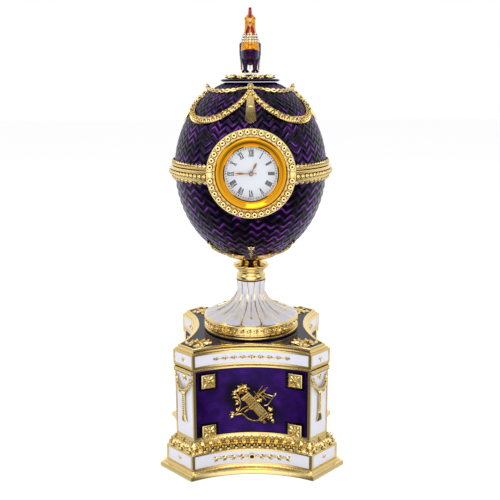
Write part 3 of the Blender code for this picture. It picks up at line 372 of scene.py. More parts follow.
def violet_enamel(look):
    """Translucent violet enamel over engine turning, with painted light: near black in the grooves as painted shade,
    and painted glints on each crest.
    """
    material, tree, shader, place = new_finish(
        "violet_enamel_over_engine_turning", look.violet, 0.22, 0.60, IOR=1.52, specular_IOR_level=0.15,
        coat_weight=0.12, coat_roughness=0.03)
    # Painted light: the ramp runs from dark painted shade in the grooves up to bright painted glints on the crests, and
    # noise breaks the glints up.
    crest = add_node(tree, "ShaderNodeAttribute", attribute_name="ridge").outputs["Fac"]
    drift = add_node(tree, "ShaderNodeTexNoise", {"Vector": place, "Scale": 1 / 0.0065, "Detail": 2.0})
    glint_breakup = add_node(
        tree, "ShaderNodeMapRange",
        {"Value": drift.outputs["Fac"], "From Min": 0.42, "From Max": 0.60, "To Min": 0.16, "To Max": 1.25})
    level = add_node(tree, "ShaderNodeMath", {0: crest, 1: glint_breakup.outputs[0]}, operation="MULTIPLY")
    tone = add_node(
        tree, "ShaderNodeValToRGB", {"Fac": level.outputs[0]},
        [(0.0, look.groove_shade), (0.25, look.violet), (0.55, linear("#4a1378")), (0.85, look.crest_glint)])
    tree.links.new(tone.outputs["Color"], shader.inputs["Base Color"])
    return material


def panel_enamel(look):
    """Violet enamel over fine wavy lines, with painted glints on the lines' crests and painted shade darkening it
    beside plates, frames and the trophy.
    """
    material, tree, shader, place = new_finish(
        "violet_enamel_over_fine_lines", look.panel, 0.28, 0.55, IOR=1.52, specular_IOR_level=0.1,
        coat_weight=0.08, coat_roughness=0.03)
    crest = add_node(tree, "ShaderNodeAttribute", attribute_name="ridge").outputs["Fac"]
    shade = add_node(tree, "ShaderNodeAttribute", attribute_name="painted_shade_halo").outputs["Fac"]
    drift = add_node(
        tree, "ShaderNodeTexNoise", {"Vector": place, "Scale": 1 / 0.007, "Detail": 2.0}).outputs["Fac"]
    # Painted glints: the crest value lightens the colour along each line.
    level = add_node(tree, "ShaderNodeMath", {0: crest, 1: 0.30, 2: drift}, operation="MULTIPLY_ADD")
    tone = add_node(
        tree, "ShaderNodeValToRGB", {"Fac": level.outputs[0]},
        [(0.25, linear("#12032c")), (0.66, look.panel), (1.0, linear("#4c1a86"))])
    # Painted shade: the halo value darkens the enamel to near black beside plates, frames and the trophy.
    dark = add_node(
        tree, "ShaderNodeMix", {0: shade, 6: tone.outputs["Color"], 7: linear("#040008")}, data_type="RGBA")
    tree.links.new(dark.outputs[2], shader.inputs["Base Color"])
    return material


def deck_enamel(look):
    """Dark violet enamel, thick and smooth, on the pedestal's top and the cockerel's plate."""
    material, tree, shader, place = new_finish(
        "dark_violet_enamel", look.deck, 0.14, IOR=1.52, specular_IOR_level=0.12, coat_weight=0.05,
        coat_roughness=0.04)
    fine_bump(tree, shader, place, 0.002, 0.00005)
    return material


def fluted_enamel(look):
    """White enamel between gilt ridges, split by the mesh's own gilt value."""
    material, tree, shader, place = new_finish(
        "white_enamel_between_gilt_ridges", look.white, 0.14, IOR=1.5, coat_weight=0.5, coat_roughness=0.04)
    fine_bump(tree, shader, place, 0.0030, 0.00005)
    gilt = add_node(tree, "ShaderNodeAttribute", attribute_name="gilt").outputs["Fac"]
    mask = add_node(
        tree, "ShaderNodeMapRange", {"Value": gilt, "From Min": 0.42, "From Max": 0.58}).outputs["Result"]
    tone = add_node(tree, "ShaderNodeMix", {0: mask, 6: look.white, 7: look.gold}, data_type="RGBA")
    tree.links.new(tone.outputs[2], shader.inputs["Base Color"])
    tree.links.new(mask, shader.inputs["Metallic"])
    return material


def crystal(look):
    """Foil-backed cut crystal: near-clear facets that flash white or go dark."""
    return new_finish("foil_backed_crystal", linear("#f4f7ff"), 0.03, 0.75, coat_weight=1.0)[0]


def clear_glass(look):
    """Thin mineral glass of the clock, clear, with a faint sheen."""
    return new_finish(
        "clear_mineral_glass", linear("#ffffff"), 0.01, IOR=1.45, transmission_weight=1.0, alpha=0.25)[0]


def dial_paint(look):
    """Matt white printed card of the dial, very slightly cool."""
    material, tree, shader, place = new_finish("matt_white_dial", look.dial, 0.5)
    fine_bump(tree, shader, place, 0.0004, 0.000004)
    return material


def dial_ink(look):
    """Dark grey print, a little raised."""
    material, tree, shader, place = new_finish("grey_dial_print", look.ink, 0.45)
    fine_bump(tree, shader, place, 0.0003, 0.000003)
    return material


def bronzed_brass(look):
    """Bronzed brass of the hands: brown with a warm metal shine."""
    material, tree, shader, place = new_finish("bronzed_brass", look.hands, 0.3, 0.85)
    fine_bump(tree, shader, place, 0.0005, 0.000008)
    return material


def pressed_steel(look):
    """Pressed nickel-plated steel can of the movement, with fine drawing lines."""
    material, tree, shader, place = new_finish("pressed_nickel_plated_steel", linear("#b4b4b6"), 0.32, 1.0)
    fine_bump(tree, shader, place, 0.0009, 0.00002)
    return material


PAINTS = {
    "red_enamel_paint": ("#b0101c", "#7a0a16"),
    "yellow_enamel_paint": ("#f8b21e", "#e07a0c"),
    "orange_enamel_paint": ("#fbb414", "#c8520a"),
    "cream_enamel_paint": ("#f4e4ac", "#d8b868"),
    "magenta_enamel_paint": ("#c01858", "#6a0820"),
    "teal_enamel_paint": ("#1560a0", "#0c3a50"),
    "purple_enamel_paint": ("#3a1452", "#140620"),
    "black_enamel_paint": ("#0c0a10", "#1a1420"),
}


def hand_paint(name):
    """Glossy hand-painted enamel that pools darker between feathers."""
    light, dark = PAINTS[name]
    material, tree, shader, place = new_finish(
        name, linear(light), 0.24, 0.3, IOR=1.5, specular_IOR_level=0.2, coat_weight=0.2, coat_roughness=0.05)
    pool = fine_bump(tree, shader, place, 0.0012, 0.0001)
    tone = add_node(
        tree, "ShaderNodeValToRGB", {"Fac": pool.outputs["Fac"]},
        [(0.34, linear(dark)), (0.6, linear(light))])
    tree.links.new(tone.outputs["Color"], shader.inputs["Base Color"])
    return material


FINISHES = {
    "gilt": gold_plate, "polished": polished_gold, "white": white_enamel, "violet": violet_enamel,
    "panel": panel_enamel, "deck": deck_enamel, "fluted": fluted_enamel, "crystal": crystal,
    "glass": clear_glass, "dial": dial_paint, "ink": dial_ink, "hands": bronzed_brass,
    "steel": pressed_steel, "hole_shade": painted_hole_shade,
}
made_finishes = {}


def finish(name):
    """The material of a finish, made when the first piece asks for it."""
    if name not in made_finishes:
        if name in PAINTS:
            made_finishes[name] = hand_paint(name)
        else:
            made_finishes[name] = FINISHES[name](bpy.context.scene.egg_clock_colours)
    return made_finishes[name]


def half_chord(half):
    return CHORD_HALF + CHORD_GROWTH * (half - ENTABLATURE_HALF)


def side_curve(half):
    """Centre distance, radius and half angle of the arc that hollows a side."""
    chord = half_chord(half)
    radius = (chord**2 + SIDE_SAG**2) / (2 * SIDE_SAG)
    return half - SIDE_SAG + radius, radius, math.asin(chord / radius)


def frame_on(place, along, outward):
    """A frame with Y along, Z outwards and X beside them."""
    along, outward = along.normalized(), outward.normalized()
    aside = along.cross(outward).normalized()
    return Matrix.Translation(place) @ Matrix((aside, along, aside.cross(along))).transposed().to_4x4()


def on_side(side, across, height, half=SHAFT_HALF):
    """A frame on a hollow side: X along it, Y up and Z outwards."""
    centre, radius, _ = side_curve(half)
    angle = math.asin(across / radius)
    place = Vector((across, radius * math.cos(angle) - centre, height))
    turn = Matrix.Rotation(side * math.pi / 2, 4, "Z")
    return turn @ frame_on(place, UP, Vector((-math.sin(angle), -math.cos(angle), 0)))


def on_corner(corner, height, half=SHAFT_HALF):
    """A frame on a cut corner: X along it, Y up and Z outwards."""
    outward = Vector((1, -1, 0)).normalized()
    place = outward * ((half + half_chord(half)) / math.sqrt(2)) + UP * height
    return Matrix.Rotation(corner * math.pi / 2, 4, "Z") @ frame_on(place, UP, outward)


def corner_width(half):
    return (half - half_chord(half)) * math.sqrt(2)


def bent_on(side, height, half=SHAFT_HALF):
    """Bends a flat drawing (across, up, out) round a hollow side."""
    return lambda point: on_side(side, point[0], height + point[1], half) @ Vector((0, 0, point[2]))


def turned(x, y, degrees, z=0.0):
    return Matrix.Translation((x, y, z)) @ Matrix.Rotation(math.radians(degrees), 4, "Z")


SIDE_SHARES = [-1, -0.953, -0.946] + [-0.86 + 1.72 * k / 18 for k in range(19)] + [0.946, 0.953]
CORNER_SHARES = [-1, -0.872, -0.860, -0.45, 0, 0.45, 0.860, 0.872]
CELL_SINK = 0.0003


def wall_ring(half, height, sunk):
    """One level of the pedestal's wall. Where it is sunk, the cells lie behind their gilt frames."""
    centre, radius, spread = side_curve(half)
    width = corner_width(half)
    ring = []
    for side in range(4):
        turn = Matrix.Rotation(side * math.pi / 2, 3, "Z")
        for share in SIDE_SHARES:
            out = CELL_SINK if sunk and abs(share) < 0.95 else 0
            angle, reach = spread * share, radius + out
            ring.append(turn @ Vector((reach * math.sin(angle), reach * math.cos(angle) - centre, height)))
        place = on_corner(side, height, half)
        for share in CORNER_SHARES:
            out = CELL_SINK if sunk and abs(share) < 0.865 else 0
            ring.append(place @ Vector((share * width / 2, 0, -out)))
    return ring


def pedestal_casting():
    """The body of the pedestal: gilt mouldings round white and violet cells, and the dark deck."""
    frame_low, frame_high, lip = 0.0009, 0.0009, 0.00012
    levels = [(SLAB_HALF - 0.0003, 0, ""), (SLAB_HALF, 0.0004, ""), (SLAB_HALF, SLAB_HEIGHT - 0.0005, "")]
    levels += [(SLAB_HALF - 0.0002, SLAB_HEIGHT - 0.0001, ""), (SLAB_HALF - 0.0006, SLAB_HEIGHT, "")]
    levels += [(PLINTH_HALF + 0.0016, SLAB_HEIGHT + 0.0001, ""), (PLINTH_HALF + 0.0012, SLAB_HEIGHT + 0.0006, "")]
    levels += [(PLINTH_HALF + 0.0004, SLAB_HEIGHT + 0.0009, ""), (PLINTH_HALF, PLINTH_FROM - 0.0001, "")]

    def band(half, low, high, cell):
        levels.extend([
            (half, low, ""), (half, low + frame_low, ""), (half, low + frame_low + lip, cell),
            (half, (low + high) / 2, cell), (half, high - frame_high - lip, cell), (half, high - frame_high, ""),
            (half, high, "")])

    band(PLINTH_HALF, PLINTH_FROM, PLINTH_TO, "white")
    levels += [(PLINTH_HALF - 0.0003, PLINTH_TO + 0.0003, ""), (PLINTH_HALF - 2 * EDGE, PLINTH_TO + EDGE, "")]
    levels += [(SHAFT_HALF + 0.0006, SHAFT_FROM - 0.0010, ""), (SHAFT_HALF + 0.0004, SHAFT_FROM, "")]
    band(SHAFT_HALF, SHAFT_FROM + 0.0003, SHAFT_TO - 0.0006, "panel")
    levels += [(SHAFT_HALF + 0.0005, SHAFT_TO - 0.0004, ""), (SHAFT_HALF + 0.0008, SHAFT_TO, "")]
    levels += [(SHAFT_HALF + 0.0004, SHAFT_TO + 0.0003, ""), (ENTABLATURE_HALF - 0.0003, ENTABLATURE_FROM - 0.0001, "")]
    band(ENTABLATURE_HALF, ENTABLATURE_FROM, ENTABLATURE_TO, "white")
    top = ENTABLATURE_TO
    levels += [(ENTABLATURE_HALF - 0.0002, top + 0.0002, ""), (ENTABLATURE_HALF - 0.0011, top + 0.0003, "")]
    levels += [(ENTABLATURE_HALF - 0.0012, top + 0.0009, ""), (ENTABLATURE_HALF - 0.0021, top + 0.0012, "")]
    levels += [(CAP_HALF - 0.0001, top + 0.0016, ""), (CAP_HALF, CAP_TO - 0.0003, ""), (CAP_HALF - 0.0002, CAP_TO, "")]
    levels += [(CAP_HALF - DECK_RIM, CAP_TO, ""), (CAP_HALF - DECK_RIM - 0.0002, DECK, "")]
    per_side = len(SIDE_SHARES) + len(CORNER_SHARES)

    def mark(level, step):
        cell = levels[level][2] and levels[level + 1][2]
        place = step % per_side
        if not cell:
            return 0
        if place < len(SIDE_SHARES):
            inner = 1 < place < len(SIDE_SHARES) - 2
            return (1 if cell == "white" else 2) if inner else 0
        place -= len(SIDE_SHARES)
        return 1 if 1 < place < len(CORNER_SHARES) - 2 else 0

    form = Form()
    rings = [wall_ring(half, height, bool(cell)) for half, height, cell in levels]
    form.grid(rings, mark, around=True)
    form.add(rings[0], [tuple(range(len(rings[0])))], 0)
    form.add(rings[-1], [tuple(range(len(rings[-1])))], 3)
    return form.make("pedestal_casting", ["gilt", "white", "panel", "deck"], "pedestal", smooth=30)


def panel_marks():
    """Centres and half sizes of what stands on the front panel, round which the enamel gets its painted shade."""
    low, high = SHAFT_FROM + PLATE_FROM_BOTTOM, SHAFT_TO - PLATE_FROM_TOP
    half = PLATE_SIZE / 2 + 0.0009
    return [(x, z, half) for x in (-PLATE_ACROSS, PLATE_ACROSS) for z in (low, high)]


def panel_surface(side, sizes):
    """The engine-turned violet panel of one side."""
    low, high = SHAFT_FROM + 0.0013, SHAFT_TO - 0.0016
    width = half_chord(SHAFT_HALF) * 0.95
    rows, ridge, painted_shade_halo = [], [], []
    down = round((high - low) / sizes.panel_pitch) * 5
    across_steps = 64
    centre, radius, _ = side_curve(SHAFT_HALF)
    turn = Matrix.Rotation(side * math.pi / 2, 3, "Z")
    blots = panel_marks()
    for level in range(down + 1):
        height = low + (high - low) * level / down
        row = []
        for step in range(across_steps + 1):
            across = width * (2 * step / across_steps - 1)
            wave = 0.00016 * math.sin(TAU * across / 0.0085) + 0.0001 * math.sin(TAU * across / 0.0031 + side)
            phase = (height - wave) / sizes.panel_pitch
            crest = 1 - abs(math.sin(math.pi * phase))
            out = -0.00022 + 0.00007 * crest
            angle = math.asin(across / radius)
            reach = radius - out
            row.append(turn @ Vector((reach * math.sin(angle), reach * math.cos(angle) - centre, height)))
            # Painted shade: darkness grows near the panel's edges, round the plates, and round the trophy or the big
            # flower.
            edge = min(width - abs(across), height - low, high - height)
            dark = max(0.0, 1 - edge / 0.0009)
            for x, z, half in blots:
                gap = max(abs(across - x), abs(height - z)) - half
                dark = max(dark, min(1.0, 1 - gap / 0.0007))
            if side == 0:
                u, v = across / 0.0150, (height - SHAFT_FROM - TROPHY_RISE) / 0.0130
                spread = math.hypot(u + 0.35 * v, v + 0.25 * u)
                dark = max(dark, min(0.85, (1.02 - spread) * 3.0))
            else:
                gap = abs(across) + abs(height - SHAFT_FROM - TROPHY_RISE) - PLATE_SIZE * 1.50
                dark = max(dark, min(1.0, 1 - gap / 0.0009))
            # The crest value lightens the colour along each line as painted glints.
            ridge.append(crest)
            painted_shade_halo.append(max(dark, 0.0))
        rows.append(row)
    form = Form()
    form.grid(rows)
    form.values = {"ridge": ridge, "painted_shade_halo": painted_shade_halo}
    return form.make("panel_" + str(side), ["panel"], "pedestal")


def leaf_moulding():
    """The carved leaf moulding between the plinth and the shaft: scrolled leaves over a row of bulbs."""
    form = Form()
    form_half = PLINTH_HALF - 2 * EDGE
    run, rise = form_half - SHAFT_HALF - 0.0004, LEAF_RISE - EDGE
    tilt = Matrix.Rotation(-math.atan2(run, rise), 4, "X")
    size = math.hypot(run, rise)
    height = PLINTH_TO + EDGE

    def motif(place, pitch):
        lean = place @ tilt
        form.leaf(lean @ turned(0, size * 0.10, 0), pitch * 0.62, size * 0.86, 0.0012, curl=0.0007, fat=0.5)
        for hand in (-1, 1):
            form.leaf(
                lean @ turned(hand * pitch * 0.16, size * 0.22, -hand * 38), pitch * 0.34, size * 0.48,
                0.0009, curl=0.0005, steps=4)
            form.ball((hand * pitch * 0.30, size * 0.20, 0.0003), (pitch * 0.15, 0.0006, 0.0007), place=lean,
                      segments=6, rings=4)
        form.ball((0, size * 0.02, 0.0004), (pitch * 0.26, 0.0009, 0.0010), place=lean)
        form.ball((pitch / 2, size * 0.80, 0.0003), (0.0006, 0.0005, 0.0005), place=lean, segments=6, rings=4)

    count = 15
    pitch = 2 * half_chord(form_half) / count
    for side in range(4):
        for step in range(count):
            motif(on_side(side, pitch * (step + 0.5 - count / 2), height, form_half), pitch)
        wide = corner_width(form_half) / 3
        for step in range(3):
            motif(on_corner(side, height, form_half) @ Matrix.Translation((wide * (step - 1), 0, 0)), wide)
    return form.make("leaf_moulding", ["gilt"], "pedestal", smooth=50)


def rosettes():
    """Square plates with an eight-rayed flower, and the bigger flower on the plainer sides."""
    form = Form()
    low, high = SHAFT_FROM + PLATE_FROM_BOTTOM, SHAFT_TO - PLATE_FROM_TOP

    def plate(place, size):
        half, thick = size / 2, 0.0006
        rim = [(half * 0.96, 0.0), (half, 0.0002), (half, thick - 0.00015), (half * 0.94, thick),
               (half * 0.86, thick), (half * 0.82, thick * 0.62), (0, thick * 0.62)]
        rows = [[(-r, -r, z), (r, -r, z), (r, r, z), (-r, r, z)] for r, z in rim]
        form.grid(rows, around=True, place=place @ Matrix.Translation((0, 0, -0.0003)))
        for step in range(8):
            reach = half * (1.02 if step % 2 else 0.78)
            form.leaf(place @ turned(0, 0, step * 45, 0.0001), size * 0.17, reach, 0.00055, fat=0.62, steps=4)
        for step in range(4):
            form.ball((half * 0.40, 0, 0.0002), size * 0.035, place=place @ turned(0, 0, step * 90 + 22.5),
                      segments=6, rings=4)
        form.ball((0, 0, 0.0004), (size * 0.10, size * 0.10, 0.0006), place=place)

    for side in range(4):
        for across in (-PLATE_ACROSS, PLATE_ACROSS):
            for height in (low, high):
                plate(on_side(side, across, height), PLATE_SIZE)
        if side:
            middle = on_side(side, 0, SHAFT_FROM + TROPHY_RISE)
            plate(middle @ Matrix.Rotation(math.pi / 4, 4, "Z"), PLATE_SIZE * 2)
            for step in range(8):
                form.leaf(middle @ turned(0, 0, step * 45, 0.0007), 0.0022, 0.0056, 0.0007, lobes=2)
    return form.make("rosettes", ["gilt"], "pedestal", smooth=40)


def trophy():
    """The front's trophy: a ribbed, banded sheaf with a blossom, a sprig, a trellis and a bow."""
    form = Form()
    unit = TROPHY_HEIGHT
    bend = bent_on(0, SHAFT_FROM + TROPHY_RISE)

    def rod(points, width, out=0.0004, sides=6, taper=1.0):
        path = [(x * unit, y * unit, out) for x, y in points]
        sizes = [width * unit * (1 + (taper - 1) * k / (len(path) - 1)) for k in range(len(path))]
        form.tube(path, sizes, sides, place=bend)

    def leaf(x, y, degrees, reach, width, rise=0.0009, lobes=0):
        lean = turned(x * unit, y * unit, degrees, 0.0001)
        flat = Form()
        flat.leaf(lean, width * unit, reach * unit, rise, lobes=lobes, steps=5)
        form.add(flat.points, flat.faces, 0, bend)

    start, end = Vector((-0.17, 0.22)), Vector((0.33, -0.36))
    along = (end - start).normalized()
    aside = Vector((-along.y, along.x))
    for step in range(-3, 4):
        shift = aside * (0.029 * step)
        bulge = 0.0014 - 0.00011 * step * step
        rod([start + shift, end + shift * 1.15], 0.0150, bulge, 6)
    for share, wide in ((0.02, 0.125), (0.09, 0.12), (0.40, 0.125), (0.47, 0.125), (0.89, 0.135), (0.97, 0.13)):
        middle = start.lerp(end, share)
        rod([middle - aside * wide, middle, middle + aside * wide], 0.022, 0.0020)
    for share in (0.16, 0.24, 0.32):
        middle = start.lerp(end, share)
        rod([middle - aside * 0.10, middle + aside * 0.10], 0.008, 0.0021, 5)

    def curve(points, width, taper=1.0):
        path = []
        for a, b, c, d in zip([points[0]] + points, points, points[1:], points[2:] + [points[-1]]):
            for step in range(5):
                t = step / 5
                path.append([
                    0.5 * (2 * b[k] + (c[k] - a[k]) * t + (2 * a[k] - 5 * b[k] + 4 * c[k] - d[k]) * t * t
                           + (3 * b[k] - a[k] - 3 * c[k] + d[k]) * t**3) for k in (0, 1)])
        rod(path + [points[-1]], width, 0.0005, 5, taper)

    curve([(-0.40, -0.30), (-0.30, -0.16), (-0.27, 0.02), (-0.32, 0.16), (-0.37, 0.24)], 0.018, 0.8)
    curve([(-0.38, -0.30), (-0.22, -0.28), (-0.10, -0.40), (0.06, -0.46), (0.28, -0.42)], 0.018)
    curve([(-0.30, -0.22), (-0.16, -0.12), (-0.02, -0.06)], 0.015)
    curve([(-0.18, -0.24), (-0.06, -0.16), (0.06, -0.18)], 0.014)
    for hand in range(3):
        shift = 0.105 * hand
        rod([(0.05 + shift, 0.30 - shift * 0.5), (0.24 + shift, 0.02 + shift * 0.5)], 0.012, 0.0006, 5)
        rod([(0.02 + shift, 0.06 + shift), (0.22 + shift * 0.8, 0.20 + shift)], 0.012, 0.0006, 5)
    rod([(0.02, 0.06), (0.26, 0.44)], 0.013, 0.0006, 5)
    curve([(0.33, 0.34), (0.30, 0.24), (0.52, 0.18), (0.56, 0.26), (0.40, -0.02), (0.30, -0.06)], 0.015)
    for x, y, degrees in ((0.22, 0.02, 30), (0.22, 0.02, -10), (0.22, 0.02, 70)):
        leaf(x, y, degrees, 0.13, 0.07)
    for step in range(8):
        leaf(-0.21, 0.33, step * 45 + 10, 0.165, 0.10, 0.0012)
        leaf(-0.21, 0.33, step * 45 + 32, 0.12, 0.07, 0.0017)
    form.ball((-0.21 * unit, 0.33 * unit, 0.0016), (0.0008, 0.0008, 0.0007), place=bend)
    for x, y, degrees in (
            (-0.36, 0.24, 60), (-0.36, 0.24, 100), (-0.36, 0.24, 20), (-0.33, 0.15, 95), (-0.31, 0.10, 50),
            (-0.28, 0.02, 120), (-0.28, 0.0, 60), (-0.40, -0.28, 60), (-0.40, -0.28, 95), (-0.42, -0.30, 130),
            (-0.34, -0.22, 20), (-0.30, -0.12, 160), (-0.02, -0.06, -60), (0.06, -0.18, -70), (-0.10, -0.10, -20)):
        leaf(x, y, degrees, 0.135, 0.06)
    for step in range(6):
        leaf(0.40, -0.34, step * 60, 0.12, 0.08, 0.0012)
    form.ball((0.40 * unit, -0.34 * unit, 0.0012), 0.0007, place=bend)
    for x, y, degrees in ((0.42, -0.22, 10), (0.42, -0.22, -40), (0.34, -0.44, 150), (0.46, -0.40, -150)):
        leaf(x, y, degrees, 0.13, 0.09, 0.0011)
    return form.make("trophy", ["gilt"], "pedestal", smooth=50)


def chains():
    """Gilt husk chains on the white bands and the small flowers on the cut corners."""
    form = Form()
    middle = (ENTABLATURE_FROM + ENTABLATURE_TO) / 2
    low = (PLINTH_FROM + PLINTH_TO) / 2
    sunk = Matrix.Translation((0, 0, -CELL_SINK + 0.00005))
    for side in range(4):
        for step in range(-4, 5):
            place = on_side(side, step * 0.0047, middle, ENTABLATURE_HALF) @ sunk
            size = 0.0023 if step == 0 else 0.0019
            for degrees in (0, 90, 180, 270):
                form.leaf(place @ turned(0, 0, degrees), 0.0014, size * (1.0 if degrees % 180 else 0.65),
                          0.0006, steps=4)
            form.ring(0.0006, 0.00028, place=place @ Matrix.Translation((0, 0, 0.0004)), segments=10)
            # Painted shade: a dark disc in the middle of each husk's ring stands for the shade in its hole.
            form.lathe([(0, 0.00062), (0.0004, 0.00062)], 8, 1, place=place)
            if step < 4:
                link = on_side(side, (step + 0.5) * 0.0047, middle, ENTABLATURE_HALF) @ sunk
                form.ball((0, 0, 0), (0.0009, 0.00028, 0.0003), place=link, segments=6, rings=4)
        ring = on_side(side, 0, low, PLINTH_HALF) @ sunk
        form.ring(0.0015, 0.00055, place=ring @ Matrix.Translation((0, 0, 0.0001)), segments=18)
        # Painted shade: a dark disc inside the ring stands for the shade in its middle.
        form.lathe([(0, 0.0002), (0.0010, 0.0002)], 12, 1, place=ring)
        for hand in (-1, 1):
            for step in range(4):
                place = on_side(side, hand * (0.0042 + 0.0047 * step), low - 0.0002, PLINTH_HALF) @ sunk
                form.leaf(place @ turned(0, 0, -hand * 58), 0.0019, 0.0030, 0.0008, steps=5)
                form.leaf(place @ turned(0, 0.0001, -hand * 122), 0.0016, 0.0026, 0.0008, steps=5)
                form.ball((-hand * 0.0011, 0.0008, 0.0002), (0.0009, 0.0007, 0.0006), place=place, segments=6, rings=4)
                form.ball((-hand * 0.0018, 0.0002, 0.0), (0.0012, 0.0004, 0.0004), place=place, segments=6, rings=4)
                # Painted shade: a small dark ball between the leaves of each spray.
                form.ball((hand * 0.0008, -0.0002, 0.0005), (0.0005, 0.0003, 0.0004), 1, place, 6, 4)
        for height, half in ((middle, ENTABLATURE_HALF), (low, PLINTH_HALF)):
            place = on_corner(side, height, half) @ sunk
            petals = range(6) if half == ENTABLATURE_HALF else (-2, -1, 0, 1, 2)
            for step in petals:
                form.leaf(place @ turned(0, -0.0002, step * (60 if half == ENTABLATURE_HALF else 42)),
                          0.0008, 0.0014, 0.0005, steps=4)
            form.ball((0, -0.0002, 0.0003), 0.0004, place=place, segments=6, rings=4)
    return form.make("husk_chains", ["gilt", "hole_shade"], "pedestal", smooth=50)


def garlands():
    """On each cut corner: a fringed bar, a garland with a flower in it, and a rope with a tassel."""
    form = Form()
    half = GARLAND_WIDTH / 2
    top = SHAFT_TO - 0.0016
    for corner in range(4):
        place = on_corner(corner, top)
        form.block((-half - 0.0009, -0.0006, -0.0008), (half + 0.0009, 0.0007, 0.0012), place=place)
        for step in range(15):
            x = (half + 0.0004) * (2 * step / 14 - 1)
            form.ball((x, -0.0008, 0.0008), (0.00042, 0.0011, 0.0007), place=place, segments=6, rings=5)
            form.ball((x, 0.0007, 0.0008), (0.0004, 0.0004, 0.0006), place=place, segments=6, rings=4)
        count = 26
        for step in range(count + 1):
            share = 2 * step / count - 1
            drop = GARLAND_DROP * max(1 - abs(share) ** 2.6, 0) ** 0.5
            x, y = half * share * 1.04, -drop
            out = 0.0012 * (1 - share * share) + 0.0002
            size = 0.00095 * (1.15 - 0.3 * abs(share))
            turn = math.degrees(math.atan2(-math.copysign(1, share) * abs(share) ** 1.6 * 3.2, 1.0))
            for hand in (-1, 1):
                form.leaf(place @ turned(x, y, turn + hand * 35 + 180, out), size * 1.4, size * 2.3, size * 0.9,
                          steps=4, fat=0.5)
            form.ball((x, y, out + size * 0.4), size * 0.8, place=place, segments=6, rings=4)
        flower = place @ turned(0.0003, -GARLAND_DROP * 0.42, 0, -0.0002)
        for step in range(6):
            form.leaf(flower @ turned(0, 0, step * 60 + 15), 0.0010, 0.0018, 0.0006, steps=4)
        form.ball((0, 0, 0.0005), 0.0006, place=flower, segments=6, rings=4)
        form.ring(0.0012, 0.0005, place=place @ turned(0, -GARLAND_DROP - 0.0014, 0, 0.0007), segments=10)
        for hand in (-1, 1):
            form.leaf(place @ turned(0, -GARLAND_DROP - 0.0006, hand * 70, 0.0004), 0.0013, 0.0026, 0.0008, steps=4)
        end = -GARLAND_DROP - TASSEL_DROP * 0.72
        for strand in range(2):
            path = []
            for step in range(33):
                y = -GARLAND_DROP - 0.0022 + (end + GARLAND_DROP + 0.0022) * step / 32
                angle = TAU * (step / 32 * 5 + strand / 2)
                path.append((0.00055 * math.cos(angle), y, 0.0006 + 0.00055 * math.sin(angle)))
            form.tube(path, 0.00054, 6, facing=Vector((0, 0, 1)), place=place)
        form.ball((0, end, 0.0005), (0.0014, 0.0010, 0.0009), place=place)
        for step in range(7):
            lean = (step - 3) / 3
            form.tube([(lean * 0.0006, end - 0.0004, 0.0006), (lean * 0.0012, end - 0.003, 0.0006),
                       (lean * 0.0020, end - 0.0052, 0.0003)], [0.00035, 0.00042, 0.0002], 5, place=place)
    return form.make("corner_garlands", ["gilt"], "pedestal", smooth=50)


def deck_sprays():
    """An acanthus spray on the deck in each corner."""
    form = Form()
    half = CAP_HALF - DECK_RIM
    reach = (half + half_chord(half)) / math.sqrt(2)
    for corner in range(4):
        outward = Matrix.Rotation(corner * math.pi / 2, 3, "Z") @ Vector((1, -1, 0)).normalized()
        place = frame_on(outward * (reach - 0.0030) + UP * DECK, -outward, UP)
        for x, y, degrees, size, wide in (
                (0, 0, 0, 0.0078, 0.0030), (0.0016, 0.0010, 34, 0.0070, 0.0026), (-0.0016, 0.0010, -34, 0.0070, 0.0026),
                (0.0020, 0.0002, 66, 0.0060, 0.0024), (-0.0020, 0.0002, -66, 0.0060, 0.0024),
                (0.0012, 0.0056, 48, 0.0062, 0.0022), (-0.0012, 0.0056, -48, 0.0062, 0.0022),
                (0.0006, 0.0072, 12, 0.0052, 0.0018), (-0.0006, 0.0072, -12, 0.0052, 0.0018)):
            form.leaf(place @ turned(x, y, -degrees), wide, size, 0.0008, curl=0.0009, lobes=3, steps=9)
        for x, y in ((0, -0.0004), (0.0024, 0.0054), (-0.0024, 0.0054)):
            form.ball((x, y, 0.0004), (0.0009, 0.0009, 0.0008), place=place)
    return form.make("deck_sprays", ["gilt"], "pedestal", smooth=50)


FOOT_FLARE = ((0.985, 0.0), (0.97, 0.03), (0.86, 0.095), (0.70, 0.175), (0.55, 0.25), (0.42, 0.33), (0.30, 0.43),
              (0.20, 0.54), (0.12, 0.66), (0.06, 0.79), (0.02, 0.90), (0.0, 1.0))


def foot_flare(share):
    """Radius and height on the foot's flare, from 0 at the laurel band to 1 at the stem's top."""
    band = FOOT_RING_HEIGHT + LAUREL_HEIGHT
    reach = FOOT_RADIUS - 0.0006 - FOOT_STEM_RADIUS
    points = [(FOOT_STEM_RADIUS + reach * s, band + FOOT_FLARE_HEIGHT * lift) for s, lift in FOOT_FLARE]
    points += [(FOOT_STEM_RADIUS + 0.0001, FOOT_HEIGHT - 0.0036), (FOOT_STEM_TOP_RADIUS, FOOT_HEIGHT)]
    place = share * (len(points) - 1)
    index = min(int(place), len(points) - 2)
    t = place - index
    before, low, high, after = (points[max(index - 1, 0)], points[index], points[index + 1],
                                points[min(index + 2, len(points) - 1)])
    return [0.5 * (2 * low[k] + (high[k] - before[k]) * t + (2 * before[k] - 5 * low[k] + 4 * high[k] - after[k]) * t * t
                   + (3 * low[k] - before[k] - 3 * high[k] + after[k]) * t**3) for k in (0, 1)]


